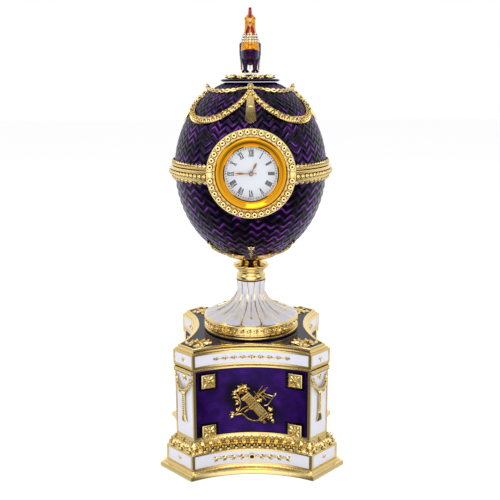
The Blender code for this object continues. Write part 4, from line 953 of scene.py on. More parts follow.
def fluted_foot():
    """White lobes between gilt ridges, over a gilt laurel band and a ring."""
    form = Form()
    per_flute, rows_count = 14, 54
    columns = [(flute + f) / FLUTES for flute in range(FLUTES)
               for f in (0, 0.03, 0.06, 0.11, 0.19, 0.29, 0.40, 0.5, 0.60, 0.71, 0.81, 0.89, 0.94, 0.97)]
    rows, gilt = [], []
    for level in range(rows_count + 1):
        share = level / rows_count
        radius, height = foot_flare(share)
        depth = 0.0008 * min(1, share * 8) * (1 - 0.35 * share) * min(1, (1 - share) * 12)
        row = []
        for column in columns:
            f = column * FLUTES % 1
            near = min(f, 1 - f)
            lobe = math.sin(math.pi * f) ** 0.45 if f > 0 else 0
            out = -depth * (1 - lobe) + 0.00022 * max(0, 1 - near / 0.05) * min(1, share * 8)
            angle = TAU * (column + 0.5 / FLUTES) - math.pi / 2
            reach = radius + out
            row.append((reach * math.cos(angle), reach * math.sin(angle), FOOT_FROM + height))
            width = 0.042 + 0.035 * share
            border = 0.030 + 0.085 * (1 - math.sqrt(max(0, 1 - (2 * f - 1) ** 2)))
            gilt.append(1.0 if near < width or share < border else 0.0)
        rows.append(row)
    form.grid(rows, 1, around=True)
    form.add(rows[-1], [tuple(range(len(rows[-1])))], 0)
    ring, band = FOOT_RING_HEIGHT, FOOT_RING_HEIGHT + LAUREL_HEIGHT
    profile = [(0, 0), (FOOT_RADIUS - 0.0004, 0), (FOOT_RADIUS - 0.0001, 0.0003), (FOOT_RADIUS, ring / 2),
               (FOOT_RADIUS - 0.0001, ring - 0.0003), (FOOT_RADIUS - 0.0007, ring), (FOOT_RADIUS - 0.0009, ring + 0.0003),
               (FOOT_RADIUS - 0.0002, ring + 0.0006), (FOOT_RADIUS - 0.0002, ring + 0.0010),
               (FOOT_RADIUS - 0.0008, ring + 0.0013), (FOOT_RADIUS - 0.0008, band - 0.0016),
               (FOOT_RADIUS - 0.0001, band - 0.0013), (FOOT_RADIUS, band - 0.0008), (FOOT_RADIUS - 0.0002, band - 0.0003),
               (FOOT_RADIUS - 0.0007, band), (FOOT_RADIUS - 0.0030, band + 0.0002), (0, band + 0.0002)]
    form.lathe([(r, z + FOOT_FROM) for r, z in profile], 120)
    middle = FOOT_FROM + ring + 0.0032
    count = 44
    for step in range(count):
        angle = TAU * step / count
        outward = Vector((math.sin(angle), -math.cos(angle), 0))
        for hand in (-1, 1):
            place = frame_on(outward * (FOOT_RADIUS - 0.0009) + UP * (middle - hand * 0.0013), UP, outward)
            form.leaf(place @ Matrix.Rotation(math.radians(52 * hand + (90 - 90 * hand)), 4, "Z"),
                      0.0013, 0.0035, 0.0008, steps=5)
        form.ball(outward * (FOOT_RADIUS - 0.0006) + UP * middle, 0.00035, segments=6, rings=4)
    for flute in range(FLUTES):
        path, sizes, facing = [], [], []
        angle = TAU * (flute + 1) / FLUTES - math.pi / 2
        for step in range(11):
            share = 0.82 - 0.56 * step / 10
            radius, height = foot_flare(share)
            path.append(((radius + 0.0001) * math.cos(angle), (radius + 0.0001) * math.sin(angle), FOOT_FROM + height))
            sizes.append(0.00016 + 0.00022 * (step / 10) ** 2)
            facing.append(Vector((math.cos(angle), math.sin(angle), 0.4)))
        form.tube(path, sizes, 5, facing=facing)
        form.ball(path[-1], (0.0008, 0.0008, 0.0005), segments=8, rings=5)
    form.values = {"gilt": gilt}
    return form.make("fluted_foot", ["gilt", "fluted"], "foot", smooth=45)


def turned_collar():
    """The gilt collar: a ring, a cove, a dish and a neck."""
    profile = [(0, 0), (0.0078, 0), (0.0082, 0.0003), (0.0083, 0.0012), (0.0083, 0.0024), (0.0080, 0.0029),
               (0.0076, 0.0031), (0.0075, 0.0036), (0.0075, 0.0044), (0.0077, 0.0050), (0.0082, 0.0057),
               (0.0091, 0.0065), (0.0099, 0.0072), (0.0102, 0.0078), (0.0102, 0.0082), (0.0099, 0.0086),
               (0.0088, 0.0089), (0.0078, 0.0091), (0.0070, 0.0095), (0.0065, 0.0102), (0.0061, 0.0108),
               (0.0056, 0.0114), (0, 0.0114)]
    form = Form()
    form.lathe([(r, z + COLLAR_FROM) for r, z in profile], 96)
    return form.make("turned_collar", ["gilt"], "collar", smooth=60)


def egg_reach(height, out=0.0):
    """Radius of the egg at a height, moved outwards by out."""
    tall = EGG_ABOVE if height > WAIST else EGG_BELOW
    return (EGG_RADIUS + out) * math.sqrt(max(1 - ((height - WAIST) / (tall + out)) ** 2, 0))


def on_egg(azimuth, height, out=0.0):
    """A point over the egg. Azimuth 0 is the front, and it grows towards +X."""
    reach = egg_reach(height, out)
    return Vector((reach * math.sin(azimuth), -reach * math.cos(azimuth), height))


def egg_normal(azimuth, height):
    tall = EGG_ABOVE if height > WAIST else EGG_BELOW
    reach = egg_reach(height)
    normal = Vector((reach * math.sin(azimuth), -reach * math.cos(azimuth), 0)) / EGG_RADIUS**2
    return (normal + UP * ((height - WAIST) / tall**2)).normalized()


def egg_frame(azimuth, height, out=0.0, along=None):
    """A frame on the egg with Z outwards and Y along its meridian, or along what is given."""
    normal = egg_normal(azimuth, height)
    return frame_on(on_egg(azimuth, height, out), along or (UP - normal * normal.z), normal)


def egg_rise(reach, above):
    """Angle above or below the waist where the egg has this radius."""
    return math.acos(min(reach / EGG_RADIUS, 1)) * (1 if above else -1)


def engine_turned(form, rises, per_wave, waves, row_pitch, swing, relief, zigzag):
    """The outer wall between two angles of rise, with rows of waves cut into it."""
    columns = per_wave * waves
    rows, ridge, run, before = [], [], 0.0, None
    for rise in rises:
        tall = EGG_ABOVE if rise > 0 else EGG_BELOW
        spot = (EGG_RADIUS * math.cos(rise), WAIST + tall * math.sin(rise))
        if before:
            run += math.hypot(spot[0] - before[0], spot[1] - before[1])
        before = spot
        normal = Vector((math.cos(rise) / EGG_RADIUS, math.sin(rise) / tall)).normalized()
        thin = min(1.0, spot[0] / 0.020)
        row = []
        for step in range(columns):
            share = step / per_wave % 1
            wave = 4 * abs(share - 0.5) - 1 if zigzag else math.cos(TAU * share)
            phase = (run - swing * thin * wave) / row_pitch
            crest = (1 - abs(math.sin(math.pi * phase))) ** 1.3
            out = relief * (crest - 1)
            angle = TAU * step / columns - math.pi / 2
            reach = spot[0] + normal.x * out
            row.append((reach * math.cos(angle), reach * math.sin(angle), spot[1] + normal.y * out))
            ridge.append(crest**1.6)
        rows.append(row)

    def keep(level, step):
        x, y, z = rows[level][step]
        return y > 0 or math.hypot(x, z - CLOCK) > (RING_RADIUS + RING_BORE) / 2 + 0.0004

    form.values["ridge"] = [0.0] * len(form.points) + ridge
    form.grid(rows, 1, around=True, keep=keep)


def half_ring(form, above):
    """Half of the gilt ring round the clock, cut flat where the lid parts from the bowl."""
    cut = SPLIT - CLOCK + (GAP / 2 if above else -GAP / 2)
    profile = [(SEAT_RADIUS, RING_BACK), (RING_RADIUS, RING_BACK), (RING_RADIUS, RING_FACE - 0.0010),
               (RING_RADIUS - 0.0001, RING_FACE - 0.0004), (RING_RADIUS - 0.0004, RING_FACE),
               (RING_RADIUS - 0.0006, RING_FACE), (RING_RADIUS - 0.0007, RING_FACE - 0.0009),
               (RING_BORE + 0.0004, RING_FACE - 0.0009), (RING_BORE + 0.0003, RING_FACE - 0.0003),
               (RING_BORE + 0.0001, RING_FACE), (RING_BORE, RING_FACE - 0.0006),
               (RING_BORE, DIAL_BACK - GAP), (SEAT_RADIUS, DIAL_BACK - GAP)]
    frame_clock = Matrix.Translation((0, 0, CLOCK)) @ Matrix.Rotation(math.pi / 2, 4, "X")
    steps = 190
    rows = []
    for step in range(steps + 1):
        row = []
        for index, (radius, depth) in enumerate(profile):
            first = math.asin(cut / radius)
            spread = math.pi - 2 * first
            angle = first + spread * step / steps if above else first - (math.tau - spread) * step / steps
            if index in (9, 10, 11):
                radius += 0.00042 * abs(math.sin(19 * angle)) - 0.0002
            row.append((radius * math.cos(angle), radius * math.sin(angle), depth))
        rows.append(row)
    form.grid(rows, 0, around=True, caps=True, place=frame_clock)
    middle = (RING_RADIUS + RING_BORE) / 2 - 0.0001
    count = 38
    for step in range(count):
        angle = TAU * (step + 0.5) / count + math.pi / 2
        for part, turn in (("bead", 0.0), ("bar", math.pi / count)):
            x, y = middle * math.cos(angle + turn), middle * math.sin(angle + turn)
            margin = 0.0012 if part == "bead" else 0.0008
            if (y > cut) != above or abs(y - cut) < margin:
                continue
            spot = frame_clock @ Matrix.Translation((x, y, RING_FACE - 0.0001)) @ Matrix.Rotation(angle + turn, 4, "Z")
            if part == "bead":
                form.ring(0.00088, 0.00052, place=spot, segments=16, sides=8, flat=0.85)
                # Painted shade: a dark disc in each bead's hole stands for the shade there.
                form.lathe([(0, -0.00005), (0.00042, -0.00005)], 10, 2, place=spot)
            else:
                for across in (-0.00095, 0.00095):
                    form.ball((across, 0, 0), (0.00042, 0.00040, 0.00042), place=spot, segments=6, rings=4)


def fringe(form, height, radius, count, size, downwards):
    """A row of small leaves round the egg, at the edge of a gilt band."""
    for step in range(count):
        angle = TAU * (step + 0.5) / count
        outward = Vector((math.sin(angle), -math.cos(angle), 0))
        x, z = radius * math.sin(angle), height - CLOCK
        if outward.y < 0 and math.hypot(x, z) < RING_RADIUS + 0.0003:
            continue
        place = frame_on(outward * radius + UP * height, UP * (-1 if downwards else 1), outward)
        wide = TAU * radius / count * 0.96
        form.leaf(place, wide, size, 0.0008, fat=0.4, steps=5)
        form.ball((wide / 2, size * 0.12, 0.0003), (0.0004, 0.0005, 0.0005), place=place, segments=6, rings=4)


def band_ring(form, profile, segments=200):
    """A turned band round the egg, open where the clock's ring passes through it."""
    angles = [TAU * step / segments for step in range(segments)]
    rows = [[(r * math.cos(a), r * math.sin(a), z) for a in angles] for r, z in profile]
    rows.append(rows[0])

    def keep(level, step):
        x, y, z = rows[level][step]
        return y > 0 or math.hypot(x, z - CLOCK) > RING_BORE + 0.0010

    form.grid(rows, 0, around=True, keep=keep)


def inner_wall(form, first, last, steps=14):
    """The egg's plain gilt inside, from one angle of rise to another."""
    rows = []
    for step in range(steps + 1):
        rise = first + (last - first) * step / steps
        tall = (EGG_ABOVE if rise > 0 else EGG_BELOW) - EGG_WALL
        radius, height = (EGG_RADIUS - EGG_WALL) * math.cos(rise), WAIST + tall * math.sin(rise)
        rows.append([(radius * math.cos(TAU * k / 96), radius * math.sin(TAU * k / 96), height) for k in range(96)])

    def keep(level, step):
        x, y, z = rows[level][step]
        return y > 0 or math.hypot(x, z - CLOCK) > SEAT_RADIUS + 0.002

    form.grid(rows, 0, around=True, keep=keep)


def shell_leaf(form, azimuth, low, reach_up, width):
    """A ribbed shell leaf of the calyx that lies on the lower egg."""
    across_steps, up_steps = 18, 10
    rows = []
    for level in range(up_steps + 1):
        v = level / up_steps
        half = width / 2 * (0.20 + 0.80 * math.sin(min(v * 1.15, 1) * math.pi / 2))
        row = []
        for step in range(across_steps + 1):
            u = 2 * step / across_steps - 1
            droop = 0.30 * u * u * v
            scallop = 0.05 * abs(math.cos(math.pi * 3.5 * u)) * v
            height = low + reach_up * 0.55 * (v * (1 - droop) + scallop)
            reach = max(egg_reach(height), 0.006)
            rib = 0.5 + 0.5 * math.cos(TAU * 3.5 * u)
            edge = min(1, (1 - abs(u)) * 6, (1 - v) * 8 + 0.2)
            out = -0.0002 + edge * (0.0006 + 0.0006 * rib * v + 0.0011 * math.sin(math.pi * v) * (1 - u * u))
            row.append(on_egg(azimuth + u * half / reach, height, out))
        rows.append(row)
    back = [[on_egg(math.atan2(p.x, -p.y), p.z, -0.0009) for p in row] for row in rows]
    for level in range(up_steps + 1):
        rows[level] = rows[level] + back[level][::-1]
    form.grid(rows, 0, around=True, caps=True)


def egg_lower():
    """The lower half: engine-turned violet enamel, belt, half ring and calyx."""
    sizes = bpy.context.scene.egg_clock_sizes
    form = Form()
    belt_low = SPLIT - BELT_DROP
    first, last = math.radians(-89.0), -math.asin((WAIST - belt_low - 0.0006) / EGG_BELOW)
    count = 150
    rises = [first + (last - first) * k / count for k in range(count + 1)]
    engine_turned(form, rises, 15, sizes.bowl_waves, sizes.bowl_pitch, sizes.bowl_wave, sizes.relief, False)
    top = SPLIT - GAP / 2
    lip = EGG_RADIUS - EGG_WALL - 0.0003
    band = BELT_BAND_RADIUS
    band_ring(form, [
        (EGG_RADIUS - 0.0004, belt_low - 0.0002), (band - 0.0006, belt_low + 0.0001), (band - 0.0002, belt_low + 0.0008),
        (band - 0.0001, belt_low + 0.0015), (band, belt_low + 0.0040), (band + 0.0005, belt_low + 0.0043),
        (band + 0.0008, belt_low + 0.0048), (band + 0.0008, belt_low + 0.0053), (band + 0.0004, top - 0.0001),
        (band, top), (lip, top), (lip, top + 0.0020), (lip - 0.0012, top + 0.0020), (lip - 0.0012, WAIST - 0.0020),
        (EGG_RADIUS - EGG_WALL - 0.0001, WAIST - 0.0030)])
    inner_wall(form, math.radians(-4), math.radians(-89))
    bead = 0.0013
    for step in range(sizes.belt_beads):
        angle = TAU * (step + 0.5) / sizes.belt_beads
        spot = Vector((math.sin(angle), -math.cos(angle), 0)) * (BELT_BEAD_RADIUS - bead) + UP * (belt_low + 0.0028)
        if spot.y < 0 and math.hypot(spot.x, spot.z - CLOCK) < RING_RADIUS + 0.0006:
            continue
        form.ball(spot, bead, segments=12, rings=8)
    fringe(form, belt_low + 0.0006, band - 0.0008, 72, 0.0019, True)
    half_ring(form, False)
    low = WAIST - EGG_BELOW + 0.0004
    for step in range(6):
        azimuth = math.radians(30 + 60 * step)
        shell_leaf(form, azimuth, low, 0.0130, 0.0112)
        azimuth += math.radians(30)
        for height, size in ((0.0050, 0.0006), (0.0063, 0.0008), (0.0078, 0.0010), (0.0094, 0.0008)):
            spot = egg_frame(azimuth, low + height, 0.0001)
            form.ball((0, 0, 0.0002), (size, size * 1.15, size * 0.8), place=spot)
        spot = egg_frame(azimuth, low + 0.0108, 0.0001)
        for degrees in (-110, -55, 0, 55, 110):
            form.leaf(spot @ turned(0, 0, degrees), 0.0013, 0.0022, 0.0007, steps=4)
    return form.make("egg_lower_half", ["gilt", "violet", "hole_shade"], "egg_bowl", smooth=40)


def tassel(form, azimuth, start):
    """A pendant tassel under a knot: a bell of leaves with frayed ends."""
    for step in range(9):
        lean = (step - 4) / 4
        path, facing = [], []
        for share in (0.0, 0.3, 0.6, 0.85, 1.0):
            height = start - PENDANT_LENGTH * share * (1 - 0.08 * lean * lean)
            reach = egg_reach(height)
            side = lean * PENDANT_WIDTH / 2 * (0.45 + 0.55 * share)
            path.append(on_egg(azimuth + side / reach, height, 0.0008 - 0.0004 * abs(lean)))
            facing.append(egg_normal(azimuth, height))
        form.tube(path, [0.00035, 0.00042, 0.00048, 0.0005, 0.0002], 5, facing=facing)
    for share, size in ((0.02, 0.0015), (0.12, 0.0013), (0.50, 0.0021)):
        spot = egg_frame(azimuth, start - PENDANT_LENGTH * share, 0.0007)
        form.ball((0, 0, 0), (size, 0.0006, 0.0008), place=spot, segments=10, rings=6)


def lid_drapery(form):
    """Knots, ribbons, leafy swags and tassels on the lid."""
    knot_height = EGG_FLAT - KNOT_BELOW_TOP
    start = WAIST + EGG_ABOVE * math.sqrt(1 - ((KNOT_FROM_AXIS - KNOT_RADIUS) / EGG_RADIUS) ** 2)
    for quarter in range(4):
        azimuth = quarter * math.pi / 2
        outward = Vector((math.sin(azimuth), -math.cos(azimuth), 0))
        knot = outward * KNOT_FROM_AXIS + UP * knot_height
        spot = frame_on(knot, UP, outward)
        form.ring(0.0010, 0.00062, place=spot @ Matrix.Translation((0, 0, 0.0004)), segments=14, sides=8)
        form.ball((0, 0, -0.0002), (0.0012, 0.0012, 0.0008), place=spot, segments=10, rings=6)
        form.tube([on_egg(azimuth, start - 0.001, -0.0008), knot], [0.0013, 0.0009], 8, facing=outward)

        def swag_point(share):
            height = start - SWAG_DROP * (1 - (2 * share - 1) ** 2)
            return on_egg(azimuth + share * math.pi / 2, height, 0.0003), azimuth + share * math.pi / 2, height

        count = 46
        core, sizes, facings = [], [], []
        for step in range(count + 1):
            share = step / count
            place, turn, height = swag_point(share)
            ahead = swag_point(min(share + 0.01, 1))[0] - swag_point(max(share - 0.01, 0))[0]
            flow = ahead if share < 0.5 else -ahead
            normal = egg_normal(turn, height)
            thick = 0.00200 * (0.66 + 0.34 * math.sin(math.pi * share))
            core.append(place)
            sizes.append(thick * 0.75)
            facings.append(normal)
            spot = frame_on(place + normal * 0.0002, flow, normal)
            for hand in (-1, 1):
                form.leaf(spot @ turned(0, 0, hand * 48), thick * 1.0, thick * 1.35, thick * 0.75, steps=4)
                if step % 2:
                    form.leaf(spot @ turned(0, 0, hand * 16, thick * 0.55), thick * 0.8, thick * 1.25, thick * 0.5, steps=4)
            if step % 2 == 0:
                form.ball((thick * 0.25 * (1 if step % 4 else -1), 0, thick * 0.75), thick * 0.32, place=spot,
                          segments=6, rings=4)
        form.tube(core, sizes, 8, facing=facings, flat=0.7)
        for strand in (0, 1):
            path, facings = [], []
            for step in range(41):
                share = step / 40
                turn = azimuth + share * math.pi / 2
                sag = math.sin(math.pi * share)
                sway = 0.0007 * math.sin(TAU * (share * 5 + strand / 2)) * sag
                reach = KNOT_FROM_AXIS - 0.0006 * sag + 0.0002
                height = knot_height - 0.0020 * sag + sway - 0.0004
                path.append((reach * math.sin(turn), -reach * math.cos(turn), height))
                facings.append(Vector((math.sin(turn), -math.cos(turn), 0.9)).normalized())
            form.tube(path, 0.00055, 6, facing=facings, flat=0.8)
        tassel(form, azimuth, start)


def egg_upper():
    """The lid: zigzag engine turning under violet enamel, rim band, half ring and drapery."""
    sizes = bpy.context.scene.egg_clock_sizes
    form = Form()
    low = SPLIT + GAP / 2
    first = math.asin((low + LID_BAND_HEIGHT - WAIST) / EGG_ABOVE)
    last = egg_rise(EGG_FLAT_RADIUS, True)
    count = 128
    rises = [first + (last - first) * k / count for k in range(count + 1)]
    engine_turned(form, rises, 14, sizes.lid_waves, sizes.lid_pitch, sizes.lid_wave, sizes.relief, True)
    inner_flat = EGG_FLAT - EGG_WALL
    form.lathe([(EGG_FLAT_RADIUS + 0.0002, EGG_FLAT - 0.0003), (EGG_FLAT_RADIUS - 0.0004, EGG_FLAT), (0, EGG_FLAT),
                (0, inner_flat), (EGG_FLAT_RADIUS - 0.0006, inner_flat)], 96)
    inner_wall(form, math.asin((low - WAIST) / (EGG_ABOVE - EGG_WALL)), egg_rise(EGG_FLAT_RADIUS - 0.0006, True))
    band = LID_BAND_RADIUS
    band_ring(form, [
        (EGG_RADIUS - EGG_WALL, low), (band - 0.0002, low), (band, low + 0.0002), (band + 0.0001, low + 0.0009),
        (band - 0.0003, low + 0.0013), (band - 0.0008, low + 0.0017), (EGG_RADIUS - 0.0006, low + 0.0020)])
    fringe(form, low + 0.0010, band - 0.0006, 100, 0.0020, False)
    half_ring(form, True)
    lid_drapery(form)
    return form.make("egg_lid_half", ["gilt", "violet", "hole_shade"], "egg_lid", smooth=40)


def crown_wreath():
    """The dark plate on the lid with a wreath of gilt leaves round the cockerel's feet."""
    form = Form()
    plate = [(0, 0), (0.0150, 0), (0.0157, 0.0003), (0.0159, 0.0007), (0.0157, 0.0011), (0.0150, 0.0014), (0, 0.0014)]
    form.lathe([(r, z + STAND_FROM) for r, z in plate], 96, 1)
    for ring, (radius, count, size, lift) in enumerate(
            ((0.0118, 22, 0.0042, 0.0006), (0.0100, 20, 0.0038, 0.0012), (0.0070, 16, 0.0036, 0.0010))):
        for step in range(count):
            angle = TAU * (step + 0.5 * ring) / count
            outward = Vector((math.cos(angle), math.sin(angle), 0))
            sway = math.radians(28 * (1 if step % 2 else -1))
            along = Matrix.Rotation(sway, 3, "Z") @ outward
            place = frame_on(outward * (radius - size * 0.45) + UP * (STAND_TO + 0.0002), along + UP * 0.25, UP)
            form.leaf(place, size * 0.52, size * 0.98, 0.0010, curl=lift, steps=6, sink=0.0006)
        for step in range(count):
            angle = TAU * (step + 0.5 * ring + 0.5) / count
            form.ball((radius * math.cos(angle), radius * math.sin(angle), STAND_TO + 0.0008), 0.0007,
                      segments=8, rings=5)
    mound = [(0, 0), (0.0112, 0), (0.0110, 0.0006), (0.0096, 0.0012), (0.0076, 0.0012), (0.0062, 0.0018),
             (0.0052, 0.0024), (0, 0.0025)]
    form.lathe([(r, z + STAND_TO - 0.0001) for r, z in mound], 64, 0)
    return form.make("crown_wreath", ["gilt", "deck"], "wreath", smooth=50)


def spline(keys, per_span):
    """Values run smoothly through rows of keys."""
    rows = []
    for index in range(len(keys) - 1):
        before, low, high = keys[max(index - 1, 0)], keys[index], keys[index + 1]
        after = keys[min(index + 2, len(keys) - 1)]
        for step in range(per_span):
            t = step / per_span
            rows.append([
                0.5 * (2 * b + (c - a) * t + (2 * a - 5 * b + 4 * c - d) * t * t + (3 * b - a - 3 * c + d) * t**3)
                for a, b, c, d in zip(before, low, high, after)])
    rows.append(list(keys[-1]))
    return rows


BIRD_PAINTS = ["purple_enamel_paint", "orange_enamel_paint", "yellow_enamel_paint", "red_enamel_paint",
               "cream_enamel_paint", "magenta_enamel_paint", "teal_enamel_paint", "black_enamel_paint",
               "gilt", "crystal"]
PURPLE, ORANGE, YELLOW, RED, CREAM, MAGENTA, TEAL, BLACK, GILT, CRYSTAL = range(10)


def cockerel():
    """The crowing cockerel: painted feathers, a collar of crystals, wings, tail, comb and claws."""
    form = Form()
    unit = 0.0337

    def at(x, y, z):
        return Vector((x * unit, y * unit, BIRD_FROM + z * unit))

    trunk = spline([
        (0.05, 0.135, 0.030, 0.03), (0.05, 0.165, 0.090, 0.11), (0.05, 0.215, 0.130, 0.20), (0.04, 0.280, 0.146, 0.25),
        (0.02, 0.350, 0.150, 0.25), (-0.01, 0.430, 0.146, 0.20), (-0.04, 0.500, 0.130, 0.155), (-0.06, 0.560, 0.112, 0.125),
        (-0.08, 0.620, 0.094, 0.105), (-0.10, 0.700, 0.084, 0.092), (-0.11, 0.780, 0.084, 0.092), (-0.105, 0.850, 0.072, 0.082),
        (-0.10, 0.890, 0.045, 0.055), (-0.10, 0.905, 0.010, 0.012)], 4)
    sides, rows = 28, []
    for level, (y, z, wide, deep) in enumerate(trunk):
        row = []
        for step in range(sides):
            angle = TAU * step / sides
            feather = 0.010 * abs(math.sin(7 * angle + (level // 2 % 2) * math.pi / 2)) * min(wide / 0.08, 1)
            out = 1 + feather - 0.02 * (level % 2)
            forward = math.sin(angle) * deep * out
            row.append(at(math.cos(angle) * wide * out, y + forward, z - 0.15 * forward * (z < 0.45)))
        rows.append(row)

    def paint(level, step):
        z = trunk[level][1]
        front = math.sin(TAU * (step + 0.5) / sides) < 0.35
        if z < 0.318:
            return PURPLE
        if z < 0.50:
            return ORANGE if front else TEAL
        return YELLOW if z < 0.86 or front else ORANGE

    form.grid(rows, paint, around=True)
    side = Vector((1, 0, 0))
    comb = [(-0.205, 0.845), (-0.225, 0.915), (-0.195, 0.900), (-0.185, 0.965), (-0.155, 0.925), (-0.130, 0.998),
            (-0.105, 0.930), (-0.070, 0.975), (-0.060, 0.915), (-0.010, 0.930), (-0.020, 0.870), (-0.10, 0.84)]
    count = len(comb)
    points = [at(hand * 0.020, y, z) for hand in (-1, 1) for y, z in comb]
    middle = [at(hand * 0.034, -0.11, 0.90) for hand in (-1, 1)]
    faces = [(k, (k + 1) % count, 2 * count) for k in range(count)]
    faces += [(count + k, count + (k + 1) % count, 2 * count + 1) for k in range(count)]
    faces += [(k, (k + 1) % count, count + (k + 1) % count, count + k) for k in range(count)]
    form.add(points + middle, faces, RED)
    form.tube([at(0, -0.17, 0.815), at(0, -0.23, 0.808), at(0, -0.285, 0.770)],
              [0.034 * unit, 0.026 * unit, 0.004 * unit], 10, CREAM, side)
    form.tube([at(0, -0.16, 0.755), at(0, -0.21, 0.720), at(0, -0.255, 0.690)],
              [0.026 * unit, 0.020 * unit, 0.004 * unit], 10, CREAM, side)
    form.ball(at(0.0, -0.245, 0.800), 0.010 * unit, BLACK, segments=6, rings=4)
    form.ball(at(0, -0.185, 0.765), (0.020 * unit, 0.03 * unit, 0.016 * unit), MAGENTA)
    for hand in (-1, 1):
        form.ball(at(0.078 * hand, -0.13, 0.835), (0.010 * unit, 0.018 * unit, 0.018 * unit), BLACK)
        form.ring(0.020 * unit, 0.007 * unit, CREAM,
                  frame_on(at(0.080 * hand, -0.13, 0.835), UP, Vector((hand, 0, 0))), 12, 6)
        form.tube([at(0.010 * hand, -0.185, 0.735), at(0.030 * hand, -0.215, 0.68), at(0.054 * hand, -0.205, 0.625),
                   at(0.060 * hand, -0.19, 0.60)],
                  [0.012 * unit, 0.020 * unit, 0.021 * unit, 0.010 * unit], 8, MAGENTA, side)
        for row in range(4):
            for feather in range(5 - row // 2):
                share = feather / 4
                start = at(hand * (0.150 - 0.006 * row), -0.06 + 0.08 * row + 0.02 * feather, 0.47 - 0.045 * row - 0.05 * feather * 0.6)
                flow = Vector((hand * 0.02, 0.72, -0.55 - 0.25 * share))
                mark = (TEAL, TEAL, ORANGE, PURPLE)[row]
                place = frame_on(start, flow, Vector((hand, 0, 0.1)))
                form.leaf(place, (0.060 + 0.004 * row) * unit, (0.15 + 0.035 * row) * unit, 0.020 * unit, mark, steps=6)
        for share in range(5):
            place = frame_on(at(hand * 0.145, 0.14 + 0.03 * share, 0.36 - 0.04 * share),
                             Vector((0, 0.75, -0.60)), Vector((hand, 0, 0)))
            form.leaf(place, 0.045 * unit, 0.22 * unit, 0.014 * unit, GILT if share % 2 else ORANGE, steps=6)
        thigh = [at(0.078 * hand, y, z) for y, z in ((0.03, 0.27), (0.015, 0.20), (0.0, 0.13), (0.0, 0.05), (0.0, 0.01))]
        form.tube(thigh, [0.072 * unit, 0.062 * unit, 0.040 * unit, 0.030 * unit, 0.034 * unit], 12, PURPLE, side)
        for x, y in ((-0.060, -0.085), (0.0, -0.115), (0.060, -0.085), (0.0, 0.085)):
            knee = at(0.078 * hand + x * 0.5, y * 0.5, 0.040)
            form.tube([at(0.078 * hand, 0, 0.035), knee, at(0.078 * hand + x * 0.8, y * 0.8, 0.022)],
                      [0.024 * unit, 0.022 * unit, 0.016 * unit], 8, BLACK, UP)
            form.tube([at(0.078 * hand + x * 0.75, y * 0.75, 0.026), at(0.078 * hand + x, y, 0.020),
                       at(0.078 * hand + x * 1.15, y * 1.15, 0.002)],
                      [0.015 * unit, 0.013 * unit, 0.004 * unit], 6, GILT, UP)
    for row, (z, y, wide, deep, count) in enumerate(
            ((0.490, -0.035, 0.137, 0.165, 20), (0.530, -0.050, 0.126, 0.145, 18), (0.570, -0.063, 0.115, 0.130, 17),
             (0.605, -0.075, 0.103, 0.116, 15))):
        for step in range(count):
            angle = TAU * (step + 0.5 * (row % 2)) / count
            outward = Vector((math.cos(angle), math.sin(angle), 0.15))
            spot = at(math.cos(angle) * wide, y + math.sin(angle) * deep, z)
            place = frame_on(spot, UP, outward)
            form.ring(0.0175 * unit, 0.005 * unit, GILT, place, 8, 5)
            gem = [(0.0150 * unit, -0.002 * unit), (0.0165 * unit, 0.004 * unit), (0.009 * unit, 0.013 * unit), (0, 0.0135 * unit)]
            form.lathe(gem, 6, CRYSTAL, place=place)
    for plume in range(9):
        share = plume / 8
        reach, rise = 0.27 + 0.15 * share, 0.36 - 0.26 * share
        offset = 0.035 * ((plume % 3) - 1)
        path, sizes = [], []
        for step in range(13):
            turn = math.radians(150) * step / 12
            y = 0.15 + reach * 0.5 * (1 - math.cos(turn))
            z = 0.33 + rise * math.sin(turn + math.radians(8)) - 0.33 * share * step / 12
            path.append(at(offset * (0.5 + step / 12), y, z))
            sizes.append(unit * (0.020 + 0.026 * math.sin(math.pi * min(step / 12 + 0.12, 1))))
        form.tube(path, sizes, 8, (TEAL, PURPLE, ORANGE)[plume % 3], side, flat=0.35)
    return form.make("painted_cockerel", BIRD_PAINTS, "cockerel", smooth=50)


def clock_place():
    """Local +Z points to the front and local +Y up, on the clock's axis."""
    return Matrix.Translation((0, 0, CLOCK)) @ Matrix.Rotation(math.pi / 2, 4, "X")


def bezel():
    """The polished bezel with its knurled inner step."""
    face = BEZEL_FACE
    glass_front = HAND_LEVELS[3] + GLASS_THICK + GAP
    form = Form()
    profile = [(REBATE_RADIUS, DIAL_BACK), (BEZEL_RADIUS - 0.0002, DIAL_BACK), (BEZEL_RADIUS, DIAL_BACK + 0.0002),
               (BEZEL_RADIUS, face - 0.0012), (BEZEL_RADIUS - 0.0001, face - 0.0006), (BEZEL_RADIUS - 0.0005, face - 0.0002),
               (BEZEL_RADIUS - 0.0010, face), (BEZEL_RADIUS - 0.0016, face - 0.0001), (BEZEL_STEP + 0.0009, face - 0.0007),
               (BEZEL_STEP + 0.0002, face - 0.0009), (BEZEL_STEP, face - 0.0012), (BEZEL_STEP - 0.0002, face - 0.0012),
               (BEZEL_SIGHT + 0.0003, glass_front + 0.0003), (BEZEL_SIGHT, glass_front + 0.0001), (BEZEL_SIGHT, glass_front),
               (REBATE_RADIUS, glass_front)]
    form.lathe(profile, 160, closed=True, place=clock_place())
    teeth = 110
    for step in range(teeth):
        angle = TAU * step / teeth
        spot = clock_place() @ Matrix.Rotation(angle, 4, "Z") @ Matrix.Translation((BEZEL_STEP - 0.00062, 0, face - 0.00135))
        form.ball((0, 0, 0), (0.00055, 0.00032, 0.00030), place=spot, segments=6, rings=4)
    return form.make("polished_bezel", ["polished"], "clock_bezel", smooth=40)


